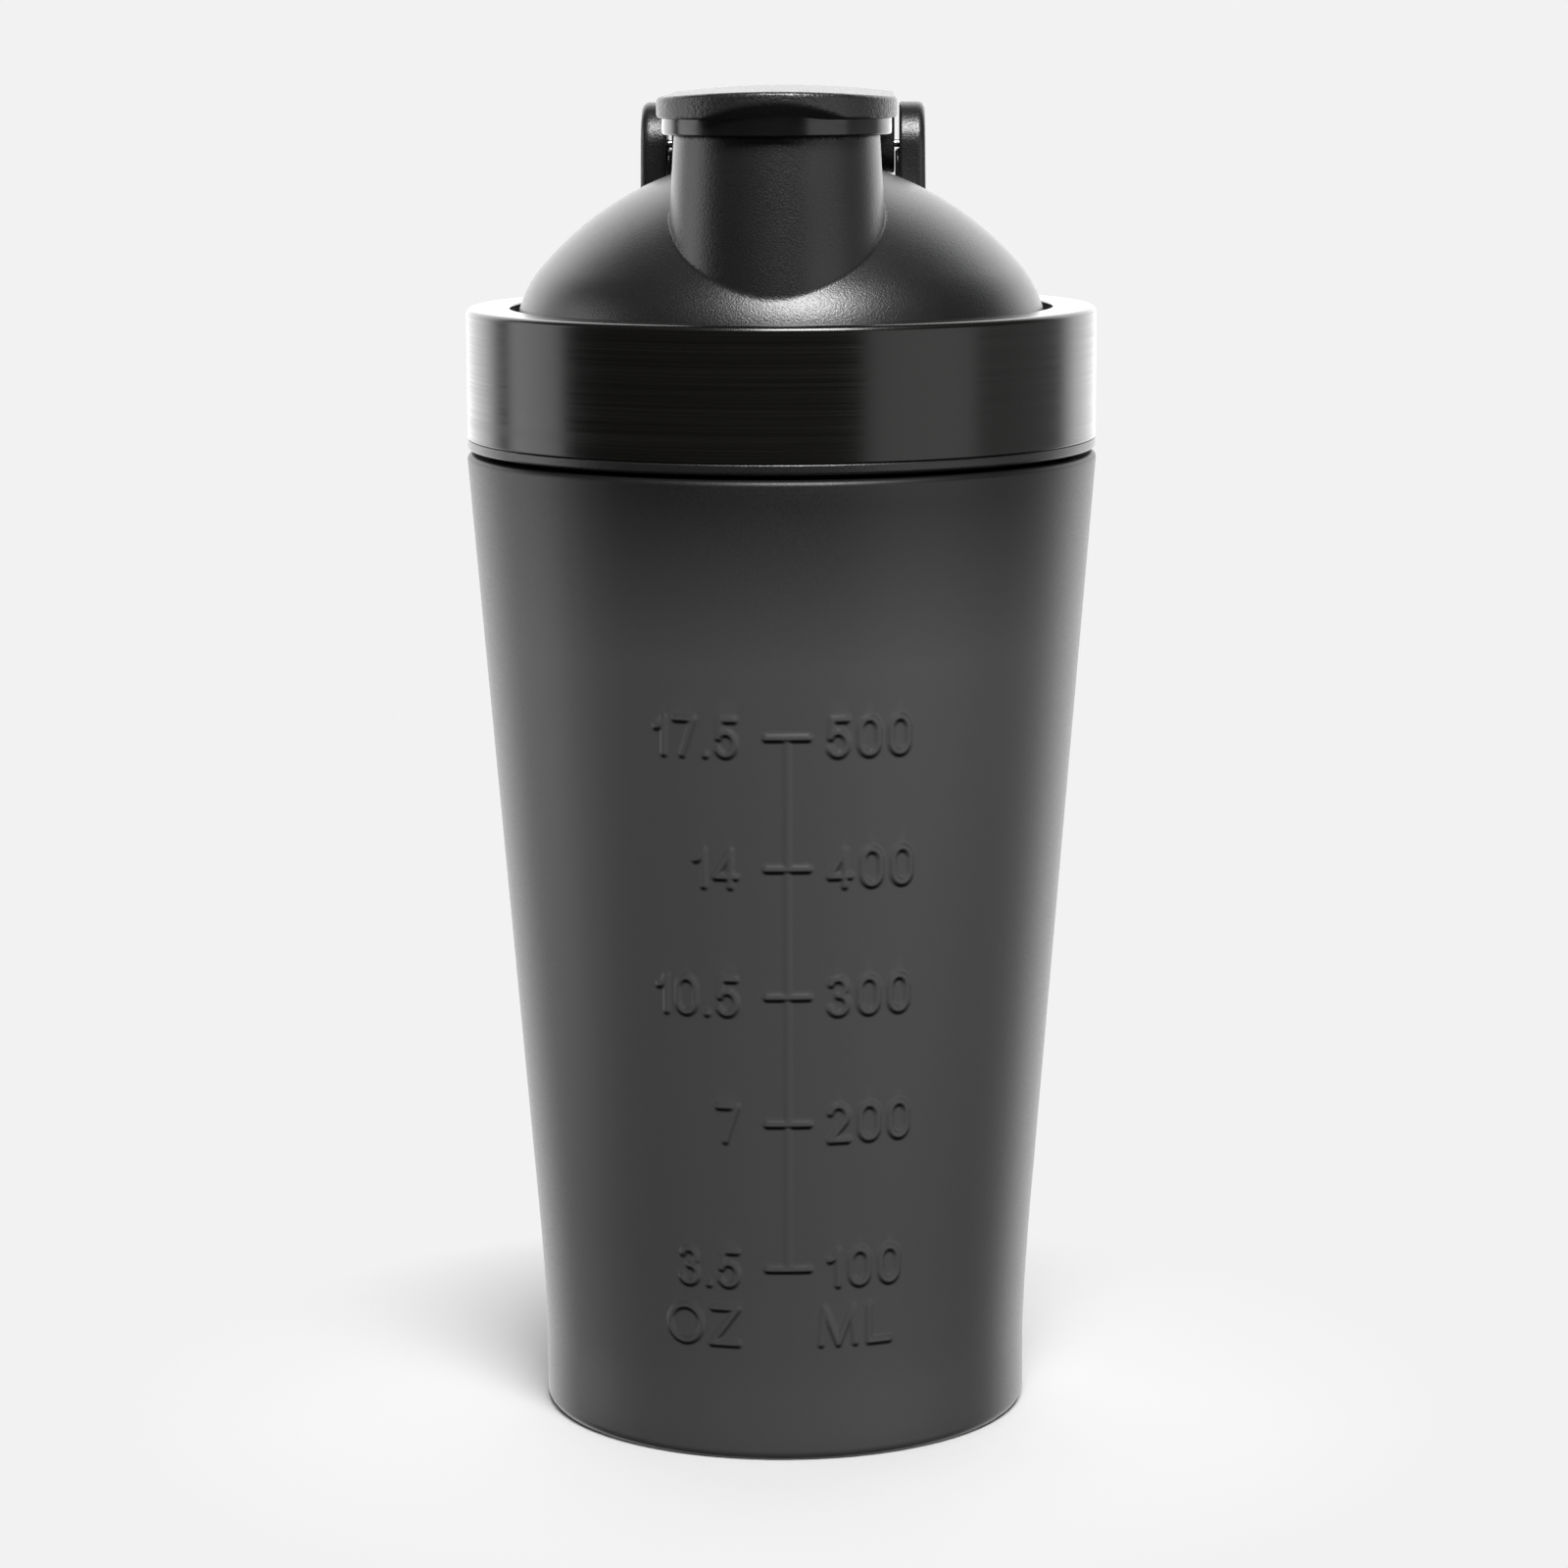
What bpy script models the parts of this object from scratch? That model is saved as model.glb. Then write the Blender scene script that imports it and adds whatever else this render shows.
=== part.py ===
"""Protein shaker bottle: a drawn steel cup with a threaded neck, a screw-on domed lid dressed with a
steel ring, and a flip cap that seals the drinking spout. Inside are a mixing grid and a whisk ball.

Metres, +Z up. The origin is the centre of the base, and the spout points to -Y.
"""

import math

import bmesh
import bpy
from mathutils import Matrix, Vector

MM = 0.001
TURN_STEPS = 48
SMALL_TURN_STEPS = 32
GAP = 0.3  # between pieces that touch in use

# Cup: radii and heights in millimetres
WALL = 0.6
NECK_RADIUS = 42.4
NECK_TOP = 160.0
SHOULDER_HEIGHT = 144.95
CUP_TOP_RADIUS = 46.7
CONE_TOP = 143.7
CONE_BOTTOM = 30.9
CONE_BOTTOM_RADIUS = 37.6
FOOT_RADIUS = 36.45
FOOT_HEIGHT = 12.0
BASE_ROUNDING = 1.6
BASE_RECESS_RADIUS = 31.0
BASE_RECESS_DEPTH = 1.2

# Thread between the neck and the lid
THREAD_LEAD = 4.0
THREAD_TURNS = 1.25
THREAD_BASE_WIDTH = 1.6
THREAD_CREST_WIDTH = 0.8
NECK_THREAD_START = 150.0
NECK_THREAD_CREST = 43.3
LID_THREAD_CREST = 42.9

# Lid
RING_TOP = 166.35
RING_BOTTOM = 147.15
RING_RADIUS = 46.6
RING_HOLE_RADIUS = 40.2
RING_SHEET = 0.6
DOME_RADIUS = 46.5
DOME_CENTRE_HEIGHT = 142.1
DOME_EDGE_RADIUS = 16.0
DOME_EDGE_ANGLE = 40.2  # degrees above the horizontal where the edge rounding takes over
DOME_EDGE_END = 9.0
DOME_WALL = 2.0
SKIRT_OUTER_RADIUS = 45.6
SKIRT_INNER_RADIUS = 43.9
LIP_BOTTOM = 145.6
GROOVE_FLOOR = 164.0
GROOVE_RADIUS = 41.0
CHANNEL_CEILING = 162.4
COLLAR_INNER_RADIUS = 37.0
COLLAR_OUTER_RADIUS = 38.6
COLLAR_BOTTOM = 157.0

# Spout and its seal
SPOUT_Y = -21.3
SPOUT_TOP = 192.3
SPOUT_TOP_RADIUS = 14.7
SPOUT_ROOT_RADIUS = 16.5
SPOUT_ROOT = 162.0
BORE_RADIUS = 13.0
SEAL_RADIUS = 16.4
SEAL_BOTTOM = 192.05
SEAL_TOP = 194.05
PLUG_BOTTOM = 189.3

# Hinge: the pin's centre line, and the two ears that hold it
PIN_Y = 20.0
PIN_Z = 189.6
PIN_RADIUS = 0.6
PIN_HALF_LENGTH = 20.9
EAR_INNER_X = 17.5
EAR_OUTER_X = 21.4
EAR_RADIUS = 6.3
EAR_ROOT = 172.0
EAR_STEP_X = 17.1
EAR_STEP_TOP = 188.3

# Flip cap
CAP_HALF_WIDTH = 17.2
CAP_REAR_HALF_WIDTH = 16.8
CAP_FRONT_REACH = 18.2  # ahead of the spout's centre line
CAP_BOTTOM = 194.35
CAP_FRONT_TOP = 198.2
CAP_TOP = 198.4
CAP_REAR_ROUNDING = 5.6
HUB_RADIUS = 4.6
THUMB_ARCH_WIDTH = 20.3
THUMB_ARCH_HEIGHT = 2.2
THUMB_ARCH_DEPTH = 2.0

# Mixing grid
GRID_BOTTOM = 157.5
GRID_FLOOR = 1.4
GRID_TOP = 161.5
GRID_RIM_WALL = 1.5
GRID_HOLE_ROWS = ((5.0, 17.5, 8), (19.2, 33.0, 16))  # inner radius, outer radius, holes
GRID_RIB = 1.7

# Whisk ball
BALL_RADIUS = 22.0
BALL_WIRE_RADIUS = 1.0
BALL_TURNS = 6
BALL_POLE_ANGLE = 14.0
BALL_STEPS_PER_TURN = 16


def clear_scene():
    for item in list(bpy.data.objects):
        bpy.data.objects.remove(item)


def material(name, colour, roughness, metallic):
    made = bpy.data.materials.new(name)
    made.use_nodes = True
    shader = made.node_tree.nodes["Principled BSDF"]
    shader.inputs["Base Color"].default_value = (*colour, 1.0)
    shader.inputs["Roughness"].default_value = roughness
    shader.inputs["Metallic"].default_value = metallic
    return made


def arc(centre, radius, start, end, steps):
    """Points on an arc, from angle start to angle end in degrees, both ends included."""
    angles = [math.radians(start + (end - start) * i / steps) for i in range(steps + 1)]
    return [(centre[0] + radius * math.cos(a), centre[1] + radius * math.sin(a)) for a in angles]


def offset(points, distance):
    """The same line moved sideways, to the right of its direction."""
    moved = []
    for i, point in enumerate(points):
        before = Vector(points[max(i - 1, 0)])
        after = Vector(points[min(i + 1, len(points) - 1)])
        here = Vector(point)
        along_in = (here - before).normalized() if i else (after - here).normalized()
        along_out = (after - here).normalized() if after != here else along_in
        bisector = (along_in + along_out).normalized()
        stretch = 1.0 / max(bisector.dot(along_in), 0.3)
        moved.append(tuple(here + Vector((bisector.y, -bisector.x)) * distance * stretch))
    return moved


def link(name, mesh, finish=None):
    made = bpy.data.objects.new(name, mesh)
    bpy.context.collection.objects.link(made)
    if finish:
        mesh.materials.append(finish)
    return made


def from_bmesh(name, shape, finish=None):
    bmesh.ops.recalc_face_normals(shape, faces=shape.faces)
    mesh = bpy.data.meshes.new(name)
    shape.to_mesh(mesh)
    shape.free()
    mesh.shade_smooth()
    mesh.set_sharp_from_angle(angle=math.radians(35))
    return link(name, mesh, finish)


def turned(name, outline, finish=None, closed=False, centre_y=0.0, steps=TURN_STEPS):
    """A body of revolution. The outline is (radius, height) and runs down its outer side."""
    mesh = bpy.data.meshes.new(name)
    edges = [(i, i + 1) for i in range(len(outline) - 1)]
    if closed:
        edges.append((len(outline) - 1, 0))
    mesh.from_pydata([(r * MM, 0.0, z * MM) for r, z in outline], edges, [])
    made = link(name, mesh, finish)
    made.location.y = centre_y * MM
    screw = made.modifiers.new("Turn", "SCREW")
    screw.axis = "Z"
    screw.steps = steps
    screw.render_steps = steps
    screw.use_merge_vertices = True
    screw.merge_threshold = 0.00001
    return made


def prism(name, outline, to_space, low, high, finish=None):
    """A flat outline extruded from low to high. to_space turns (u, v, depth) into (x, y, z)."""
    shape = bmesh.new()
    corners = [shape.verts.new(Vector(to_space(u, v, low)) * MM) for u, v in outline]
    face = shape.faces.new(corners)
    grown = bmesh.ops.extrude_face_region(shape, geom=[face])
    raised = [item for item in grown["geom"] if isinstance(item, bmesh.types.BMVert)]
    travel = Vector(to_space(0.0, 0.0, high)) - Vector(to_space(0.0, 0.0, low))
    bmesh.ops.translate(shape, verts=raised, vec=travel * MM)
    return from_bmesh(name, shape, finish)


def side_view(y, z, x):
    return (x, y, z)


def top_view(x, y, z):
    return (x, y, z)


def rod(name, radius, half_length, y, z, finish=None, segments=24):
    """A cylinder along X."""
    shape = bmesh.new()
    place = Matrix.Translation(Vector((0.0, y, z)) * MM) @ Matrix.Rotation(math.pi / 2, 4, "Y")
    bmesh.ops.create_cone(
        shape,
        cap_ends=True,
        segments=segments,
        radius1=radius * MM,
        radius2=radius * MM,
        depth=2.0 * half_length * MM,
        matrix=place,
    )
    return from_bmesh(name, shape, finish)


def helper(obj):
    """Marks a cutter or a shape that is united with another."""
    obj.hide_render = True
    obj.display_type = "WIRE"
    return obj


def combine(target, operation, tool):
    step = target.modifiers.new(operation.title(), "BOOLEAN")
    step.operation = operation
    step.solver = "EXACT"
    step.object = helper(tool)


def thread(name, root_radius, crest_radius, start_height):
    """A helical ridge with a trapezoid section, which fades out at both ends."""
    shape = bmesh.new()
    steps = int(THREAD_TURNS * TURN_STEPS)
    rows = []
    for i in range(steps + 1):
        angle = 2.0 * math.pi * i / TURN_STEPS
        height = start_height + THREAD_LEAD * i / TURN_STEPS
        fade = min(1.0, (min(i, steps - i) + 0.5) / 6.0)
        crest = root_radius + (crest_radius - root_radius) * fade
        section = (
            (root_radius, -THREAD_BASE_WIDTH / 2.0),
            (root_radius, THREAD_BASE_WIDTH / 2.0),
            (crest, THREAD_CREST_WIDTH / 2.0),
            (crest, -THREAD_CREST_WIDTH / 2.0),
        )
        rows.append(
            [
                shape.verts.new(
                    Vector((r * math.cos(angle), r * math.sin(angle), height + rise)) * MM
                )
                for r, rise in section
            ]
        )
    for lower, upper in zip(rows, rows[1:]):
        for k in range(4):
            shape.faces.new((lower[k], lower[(k + 1) % 4], upper[(k + 1) % 4], upper[k]))
    shape.faces.new(rows[0])
    shape.faces.new(rows[-1])
    return from_bmesh(name, shape)


def cup_outline():
    """The cup's section: up the inner side, over the rim and down the outer side."""
    outer = [(NECK_RADIUS, NECK_TOP)]
    outer += arc((NECK_RADIUS + 1.0, SHOULDER_HEIGHT + 1.0), 1.0, 180, 270, 3)
    shoulder = CUP_TOP_RADIUS - (SHOULDER_HEIGHT - CONE_TOP)
    outer += arc((shoulder, CONE_TOP), SHOULDER_HEIGHT - CONE_TOP, 90, 0, 4)
    outer += [
        (CONE_BOTTOM_RADIUS, CONE_BOTTOM),
        (37.0, 22.0),
        (FOOT_RADIUS, FOOT_HEIGHT),
    ]
    outer += arc((FOOT_RADIUS - BASE_ROUNDING, BASE_ROUNDING), BASE_ROUNDING, 0, -90, 3)
    outer += [
        (BASE_RECESS_RADIUS, 0.0),
        (BASE_RECESS_RADIUS - 2.0, BASE_RECESS_DEPTH),
        (0.0, BASE_RECESS_DEPTH),
    ]
    inner = offset(outer, WALL)
    inner[-1] = (0.0, inner[-1][1])
    return inner[::-1] + outer


def make_cup(finish):
    cup = turned("cup_body", cup_outline(), finish)
    ridge = thread("cup_thread", NECK_RADIUS - 0.25, NECK_THREAD_CREST, NECK_THREAD_START)
    combine(cup, "UNION", ridge)
    return cup


def dome_arcs(wall):
    """The dome's section from its top to its edge, at this depth under the outer face."""
    edge_bend = math.radians(DOME_EDGE_ANGLE)
    reach = DOME_RADIUS - DOME_EDGE_RADIUS
    edge_centre = (reach * math.cos(edge_bend), DOME_CENTRE_HEIGHT + reach * math.sin(edge_bend))
    crown = arc((0.0, DOME_CENTRE_HEIGHT), DOME_RADIUS - wall, 90, DOME_EDGE_ANGLE, 8)
    crown[0] = (0.0, crown[0][1])
    edge = arc(edge_centre, DOME_EDGE_RADIUS - wall, DOME_EDGE_ANGLE, DOME_EDGE_END, 4)
    return crown + edge[1:]


def lid_blank_outline():
    """The lid's outside as a solid: dome, groove round the dome, seat, skirt and trim lip."""
    outline = dome_arcs(0.0)
    outline += [
        (outline[-1][0], GROOVE_FLOOR),
        (GROOVE_RADIUS, GROOVE_FLOOR),
        (GROOVE_RADIUS, RING_TOP - RING_SHEET - GAP),
        (SKIRT_OUTER_RADIUS, RING_TOP - RING_SHEET - GAP),
        (SKIRT_OUTER_RADIUS, RING_BOTTOM - GAP),
        (RING_RADIUS, RING_BOTTOM - GAP),
        (RING_RADIUS, LIP_BOTTOM + 0.7),
        (RING_RADIUS - 0.8, LIP_BOTTOM),
        (0.0, LIP_BOTTOM),
    ]
    return outline


def lid_hollow_outline():
    """What is taken out of the lid: the dome's inside, and the channel that the neck screws into."""
    below = LIP_BOTTOM - 2.0
    outline = dome_arcs(DOME_WALL)
    outline += [
        (COLLAR_INNER_RADIUS, GROOVE_FLOOR),
        (COLLAR_INNER_RADIUS, COLLAR_BOTTOM),
        (COLLAR_OUTER_RADIUS, COLLAR_BOTTOM),
        (COLLAR_OUTER_RADIUS, CHANNEL_CEILING),
        (SKIRT_INNER_RADIUS, CHANNEL_CEILING),
        (SKIRT_INNER_RADIUS, below),
        (0.0, below),
    ]
    return outline


def spout_blank():
    outline = [
        (0.0, SPOUT_TOP),
        (SPOUT_TOP_RADIUS, SPOUT_TOP),
        (SPOUT_ROOT_RADIUS, SPOUT_ROOT),
        (0.0, SPOUT_ROOT),
    ]
    return turned("spout_blank", outline, centre_y=SPOUT_Y, steps=SMALL_TURN_STEPS)


def spout_bore():
    top = SPOUT_TOP + 2.0
    floor = GROOVE_FLOOR + 1.0
    outline = [(0.0, top), (BORE_RADIUS, top), (BORE_RADIUS, floor), (0.0, floor)]
    return turned("spout_bore", outline, centre_y=SPOUT_Y, steps=SMALL_TURN_STEPS)


def ear(side):
    """One hinge ear, with a step at its root that stiffens it."""
    name = "ear_right" if side > 0 else "ear_left"
    outline = arc((PIN_Y, PIN_Z), EAR_RADIUS, 0, 180, 12)
    outline += [(PIN_Y - EAR_RADIUS, EAR_ROOT), (PIN_Y + EAR_RADIUS, EAR_ROOT)]
    return prism(name, outline, side_view, side * EAR_INNER_X, side * EAR_OUTER_X)


def ear_step(side):
    name = "ear_step_right" if side > 0 else "ear_step_left"
    half = EAR_RADIUS - 1.0
    outline = [
        (PIN_Y - half, EAR_ROOT),
        (PIN_Y + half, EAR_ROOT),
        (PIN_Y + half, EAR_STEP_TOP - 3.0),
        (PIN_Y + half - 3.0, EAR_STEP_TOP),
        (PIN_Y - half, EAR_STEP_TOP),
    ]
    return prism(name, outline, side_view, side * EAR_STEP_X, side * (EAR_INNER_X + 1.0))


def make_lid(finish):
    lid = turned("lid_shell", lid_blank_outline(), finish)
    combine(lid, "UNION", spout_blank())
    for side in (-1, 1):
        combine(lid, "UNION", ear(side))
        combine(lid, "UNION", ear_step(side))
    combine(lid, "DIFFERENCE", turned("lid_hollow", lid_hollow_outline()))
    combine(lid, "DIFFERENCE", spout_bore())
    pin_hole = rod("ear_pin_hole", PIN_RADIUS + GAP, EAR_OUTER_X + 2.0, PIN_Y, PIN_Z)
    combine(lid, "DIFFERENCE", pin_hole)
    ridge = thread(
        "lid_thread",
        SKIRT_INNER_RADIUS + 0.3,
        LID_THREAD_CREST,
        NECK_THREAD_START - THREAD_LEAD / 2.0,
    )
    combine(lid, "UNION", ridge)
    return lid


def make_ring(finish):
    corner = 0.9
    inner_wall = RING_RADIUS - RING_SHEET
    under = RING_TOP - RING_SHEET
    outline = [(RING_HOLE_RADIUS, RING_TOP)]
    outline += arc((RING_RADIUS - corner, RING_TOP - corner), corner, 90, 0, 3)
    outline += [
        (RING_RADIUS, RING_BOTTOM),
        (inner_wall, RING_BOTTOM),
        (inner_wall, under - 0.4),
        (inner_wall - 0.4, under),
        (RING_HOLE_RADIUS, under),
    ]
    return turned("lid_ring", outline, finish, closed=True)


def make_gasket(finish):
    outer = SKIRT_INNER_RADIUS - 0.4
    inner = COLLAR_OUTER_RADIUS + 1.4
    top = CHANNEL_CEILING - GAP
    bottom = NECK_TOP + GAP
    outline = [
        (inner, top),
        (outer - 0.4, top),
        (outer, top - 0.4),
        (outer, bottom + 0.4),
        (outer - 0.4, bottom),
        (inner, bottom),
    ]
    return turned("lid_gasket", outline, finish, closed=True)


def make_grid(finish):
    """A shallow dish with a perforated floor, which clips into the lid's collar."""
    outer = COLLAR_INNER_RADIUS - GAP
    inner = outer - GRID_RIM_WALL
    floor_top = GRID_BOTTOM + GRID_FLOOR
    outline = [
        (0.0, floor_top),
        (inner, floor_top),
        (inner, GRID_TOP),
        (outer, GRID_TOP),
        (outer, GRID_BOTTOM),
        (0.0, GRID_BOTTOM),
    ]
    grid = turned("mixing_grid", outline, finish)
    combine(grid, "DIFFERENCE", grid_holes())
    return grid


def grid_holes():
    shape = bmesh.new()
    for inner, outer, count in GRID_HOLE_ROWS:
        for k in range(count):
            middle = 360.0 * (k + 0.5) / count
            hole = []
            for radius, direction in ((inner, 1.0), (outer, -1.0)):
                half = 180.0 / count - math.degrees(GRID_RIB / 2.0 / radius)
                hole += arc((0.0, 0.0), radius, middle - direction * half, middle + direction * half, 3)
            add_hole(shape, hole)
    return from_bmesh("grid_holes", shape)


def add_hole(shape, outline):
    low = GRID_BOTTOM - 1.0
    high = GRID_BOTTOM + GRID_FLOOR + 1.0
    corners = [shape.verts.new(Vector((x, y, low)) * MM) for x, y in outline]
    face = shape.faces.new(corners)
    grown = bmesh.ops.extrude_face_region(shape, geom=[face])
    raised = [item for item in grown["geom"] if isinstance(item, bmesh.types.BMVert)]
    bmesh.ops.translate(shape, verts=raised, vec=Vector((0.0, 0.0, (high - low) * MM)))


def make_ball(finish):
    """A wire wound from pole to pole round a sphere."""
    floor = BASE_RECESS_DEPTH + WALL
    centre = floor + GAP + BALL_RADIUS + BALL_WIRE_RADIUS
    steps = BALL_TURNS * BALL_STEPS_PER_TURN
    curve = bpy.data.curves.new("whisk_ball", "CURVE")
    curve.dimensions = "3D"
    curve.bevel_depth = BALL_WIRE_RADIUS * MM
    curve.bevel_resolution = 1
    curve.use_fill_caps = True
    line = curve.splines.new("POLY")
    line.points.add(steps)
    for i, point in enumerate(line.points):
        share = i / steps
        tilt = math.radians(BALL_POLE_ANGLE + (180.0 - 2.0 * BALL_POLE_ANGLE) * share)
        turn = 2.0 * math.pi * BALL_TURNS * share
        ring = BALL_RADIUS * math.sin(tilt)
        place = Vector((ring * math.cos(turn), ring * math.sin(turn), -BALL_RADIUS * math.cos(tilt)))
        point.co = (*(place * MM), 1.0)
    ball = bpy.data.objects.new("whisk_ball", curve)
    bpy.context.collection.objects.link(ball)
    curve.materials.append(finish)
    ball.location.z = centre * MM
    return ball


def cap_side_outline():
    """The flip cap seen from the side, as (y, z): front lip, crowned top, rear bend and hub."""
    front = SPOUT_Y - CAP_FRONT_REACH
    rear = PIN_Y + HUB_RADIUS - CAP_REAR_ROUNDING
    outline = [(front, CAP_BOTTOM), (front, CAP_FRONT_TOP), (SPOUT_Y, CAP_TOP)]
    outline += arc((rear, CAP_TOP - CAP_REAR_ROUNDING), CAP_REAR_ROUNDING, 90, 0, 5)
    outline += arc((PIN_Y, PIN_Z), HUB_RADIUS, 0, -180, 10)
    outline += [(PIN_Y - HUB_RADIUS, CAP_BOTTOM)]
    return outline


def cap_top_outline():
    """The flip cap seen from above, as (x, y): round front, sides that draw in towards the hinge."""
    rear = PIN_Y + HUB_RADIUS + 1.0
    steps = 24
    outline = []
    for i in range(steps + 1):
        angle = math.pi + math.pi * i / steps
        x = CAP_HALF_WIDTH * math.cos(angle)
        y = SPOUT_Y + CAP_FRONT_REACH * math.sin(angle)
        outline.append((x, y))
    outline += [
        (CAP_REAR_HALF_WIDTH, PIN_Y - EAR_RADIUS - 1.0),
        (CAP_REAR_HALF_WIDTH, rear),
        (-CAP_REAR_HALF_WIDTH, rear),
        (-CAP_REAR_HALF_WIDTH, PIN_Y - EAR_RADIUS - 1.0),
    ]
    return outline


def thumb_arch():
    """The cutter for the arched lift under the cap's front edge."""
    half = THUMB_ARCH_WIDTH / 2.0
    radius = (half**2 + THUMB_ARCH_HEIGHT**2) / (2.0 * THUMB_ARCH_HEIGHT)
    centre = (0.0, CAP_BOTTOM + THUMB_ARCH_HEIGHT - radius)
    spread = math.degrees(math.asin(half / radius))
    outline = arc(centre, radius, 90 + spread, 90 - spread, 10)
    outline += [(half, CAP_BOTTOM - 2.0), (-half, CAP_BOTTOM - 2.0)]
    front = SPOUT_Y - CAP_FRONT_REACH

    def front_view(x, z, y):
        return (x, y, z)

    return prism("thumb_arch", outline, front_view, front - 2.0, front + THUMB_ARCH_DEPTH)


def make_flip_cap(finish):
    cap = prism("flip_cap", cap_side_outline(), side_view, -20.0, 20.0, finish)
    plan = prism("cap_plan", cap_top_outline(), top_view, PIN_Z - 10.0, CAP_TOP + 5.0)
    combine(cap, "INTERSECT", plan)
    combine(cap, "DIFFERENCE", thumb_arch())
    pin_hole = rod("hub_pin_hole", PIN_RADIUS + GAP, 22.0, PIN_Y, PIN_Z)
    combine(cap, "DIFFERENCE", pin_hole)
    return cap


def make_seal(finish):
    """A soft disc with a groove that the spout's rim enters, and a hollow plug for the bore."""
    plug = BORE_RADIUS - GAP
    groove_top = SPOUT_TOP + GAP
    hollow_top = SEAL_TOP - 1.2
    outline = [
        (0.0, SEAL_TOP),
        (SEAL_RADIUS, SEAL_TOP),
        (SEAL_RADIUS, SEAL_BOTTOM),
        (SPOUT_TOP_RADIUS + GAP, SEAL_BOTTOM),
        (SPOUT_TOP_RADIUS + GAP, groove_top),
        (plug, groove_top),
        (plug, PLUG_BOTTOM + 0.6),
        (plug - 0.6, PLUG_BOTTOM),
        (plug - 1.6, PLUG_BOTTOM),
        (plug - 1.6, hollow_top),
        (0.0, hollow_top),
    ]
    return turned("spout_seal", outline, finish, centre_y=SPOUT_Y, steps=SMALL_TURN_STEPS)


def group(name, members, place=(0.0, 0.0, 0.0), parent=None):
    """An empty on a joint's axis, which carries the pieces that move together."""
    pivot = bpy.data.objects.new(name, None)
    bpy.context.collection.objects.link(pivot)
    origin = Vector(place) * MM
    pivot.location = origin
    pivot.parent = parent
    for member in members:
        member.location -= origin
        member.parent = pivot
    return pivot


def main():
    clear_scene()
    coated_steel = material("coated_steel", (0.045, 0.045, 0.046), 0.42, 0.0)
    ring_steel = material("ring_steel", (0.02, 0.02, 0.02), 0.22, 0.0)
    lid_plastic = material("lid_plastic", (0.035, 0.035, 0.036), 0.45, 0.0)
    cap_plastic = material("cap_plastic", (0.035, 0.035, 0.036), 0.5, 0.0)
    seal_rubber = material("seal_rubber", (0.02, 0.02, 0.02), 0.15, 0.0)
    gasket_silicone = material("gasket_silicone", (0.05, 0.05, 0.05), 0.5, 0.0)
    pin_steel = material("pin_steel", (0.5, 0.5, 0.5), 0.25, 1.0)
    wire_steel = material("wire_steel", (0.6, 0.6, 0.6), 0.2, 1.0)
    grid_plastic = material("grid_plastic", (0.03, 0.03, 0.03), 0.4, 0.0)

    cup = make_cup(coated_steel)
    ball = make_ball(wire_steel)
    lid_pieces = [
        make_lid(lid_plastic),
        make_ring(ring_steel),
        rod("hinge_pin", PIN_RADIUS, PIN_HALF_LENGTH, PIN_Y, PIN_Z, pin_steel, segments=16),
    ]
    gasket = make_gasket(gasket_silicone)
    grid = make_grid(grid_plastic)
    cap_pieces = [make_flip_cap(cap_plastic), make_seal(seal_rubber)]

    group("cup_group", [cup, ball])
    lid_axis = group("lid_axis", [*lid_pieces, gasket, grid])
    group("cap_hinge", cap_pieces, (0.0, PIN_Y, PIN_Z), lid_axis)
    bpy.context.view_layer.update()


main()
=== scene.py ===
"""Protein shaker bottle: the finished look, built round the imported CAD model.

Every piece is made in millimetres from the CAD nodes' own boxes, and is scaled to metres when it is
linked. Turned pieces are outlines spun round the axis. The lid's top, the flip cap and the mixing grid
are distance fields, which give their blends and rounded edges, turned into meshes by surface_net.
"""

import itertools
import math

import bmesh
import bpy
import numpy as np
from mathutils import Matrix, Vector


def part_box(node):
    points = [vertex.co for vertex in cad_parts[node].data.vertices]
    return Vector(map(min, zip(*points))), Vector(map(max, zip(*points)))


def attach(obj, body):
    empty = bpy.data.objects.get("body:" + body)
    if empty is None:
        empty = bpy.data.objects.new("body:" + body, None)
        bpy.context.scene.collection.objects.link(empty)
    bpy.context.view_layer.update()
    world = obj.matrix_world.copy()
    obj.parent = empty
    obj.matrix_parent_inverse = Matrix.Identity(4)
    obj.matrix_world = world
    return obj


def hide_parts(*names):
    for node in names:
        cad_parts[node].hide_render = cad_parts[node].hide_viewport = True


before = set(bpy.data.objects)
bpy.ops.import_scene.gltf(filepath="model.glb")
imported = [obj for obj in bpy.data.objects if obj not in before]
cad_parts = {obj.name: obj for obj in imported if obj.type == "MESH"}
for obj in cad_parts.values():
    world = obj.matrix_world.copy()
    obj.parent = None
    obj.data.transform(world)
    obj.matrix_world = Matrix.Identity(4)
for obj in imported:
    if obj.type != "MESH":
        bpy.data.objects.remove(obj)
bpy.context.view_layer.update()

MM = 0.001


def extent(node):
    """A CAD node's lowest corner, highest corner and centre, in millimetres."""
    low, high = (np.array(corner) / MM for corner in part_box(node))
    return low, high, (low + high) / 2.0


# What the frame gives
_, CUP_HIGH, _ = extent("cup_body")
RING_LOW, RING_HIGH, _ = extent("lid_ring")
LID_LOW, LID_HIGH, _ = extent("lid_shell")
PIN_LOW, PIN_HIGH, PIN_CENTRE = extent("hinge_pin")
SEAL_LOW, SEAL_HIGH, SEAL_CENTRE = extent("spout_seal")
CAP_LOW, CAP_HIGH, _ = extent("flip_cap")
GASKET_LOW, GASKET_HIGH, _ = extent("lid_gasket")
GRID_LOW, GRID_HIGH, _ = extent("mixing_grid")
_, BALL_HIGH, BALL_CENTRE = extent("whisk_ball")

TURN_STEPS = 256

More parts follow.
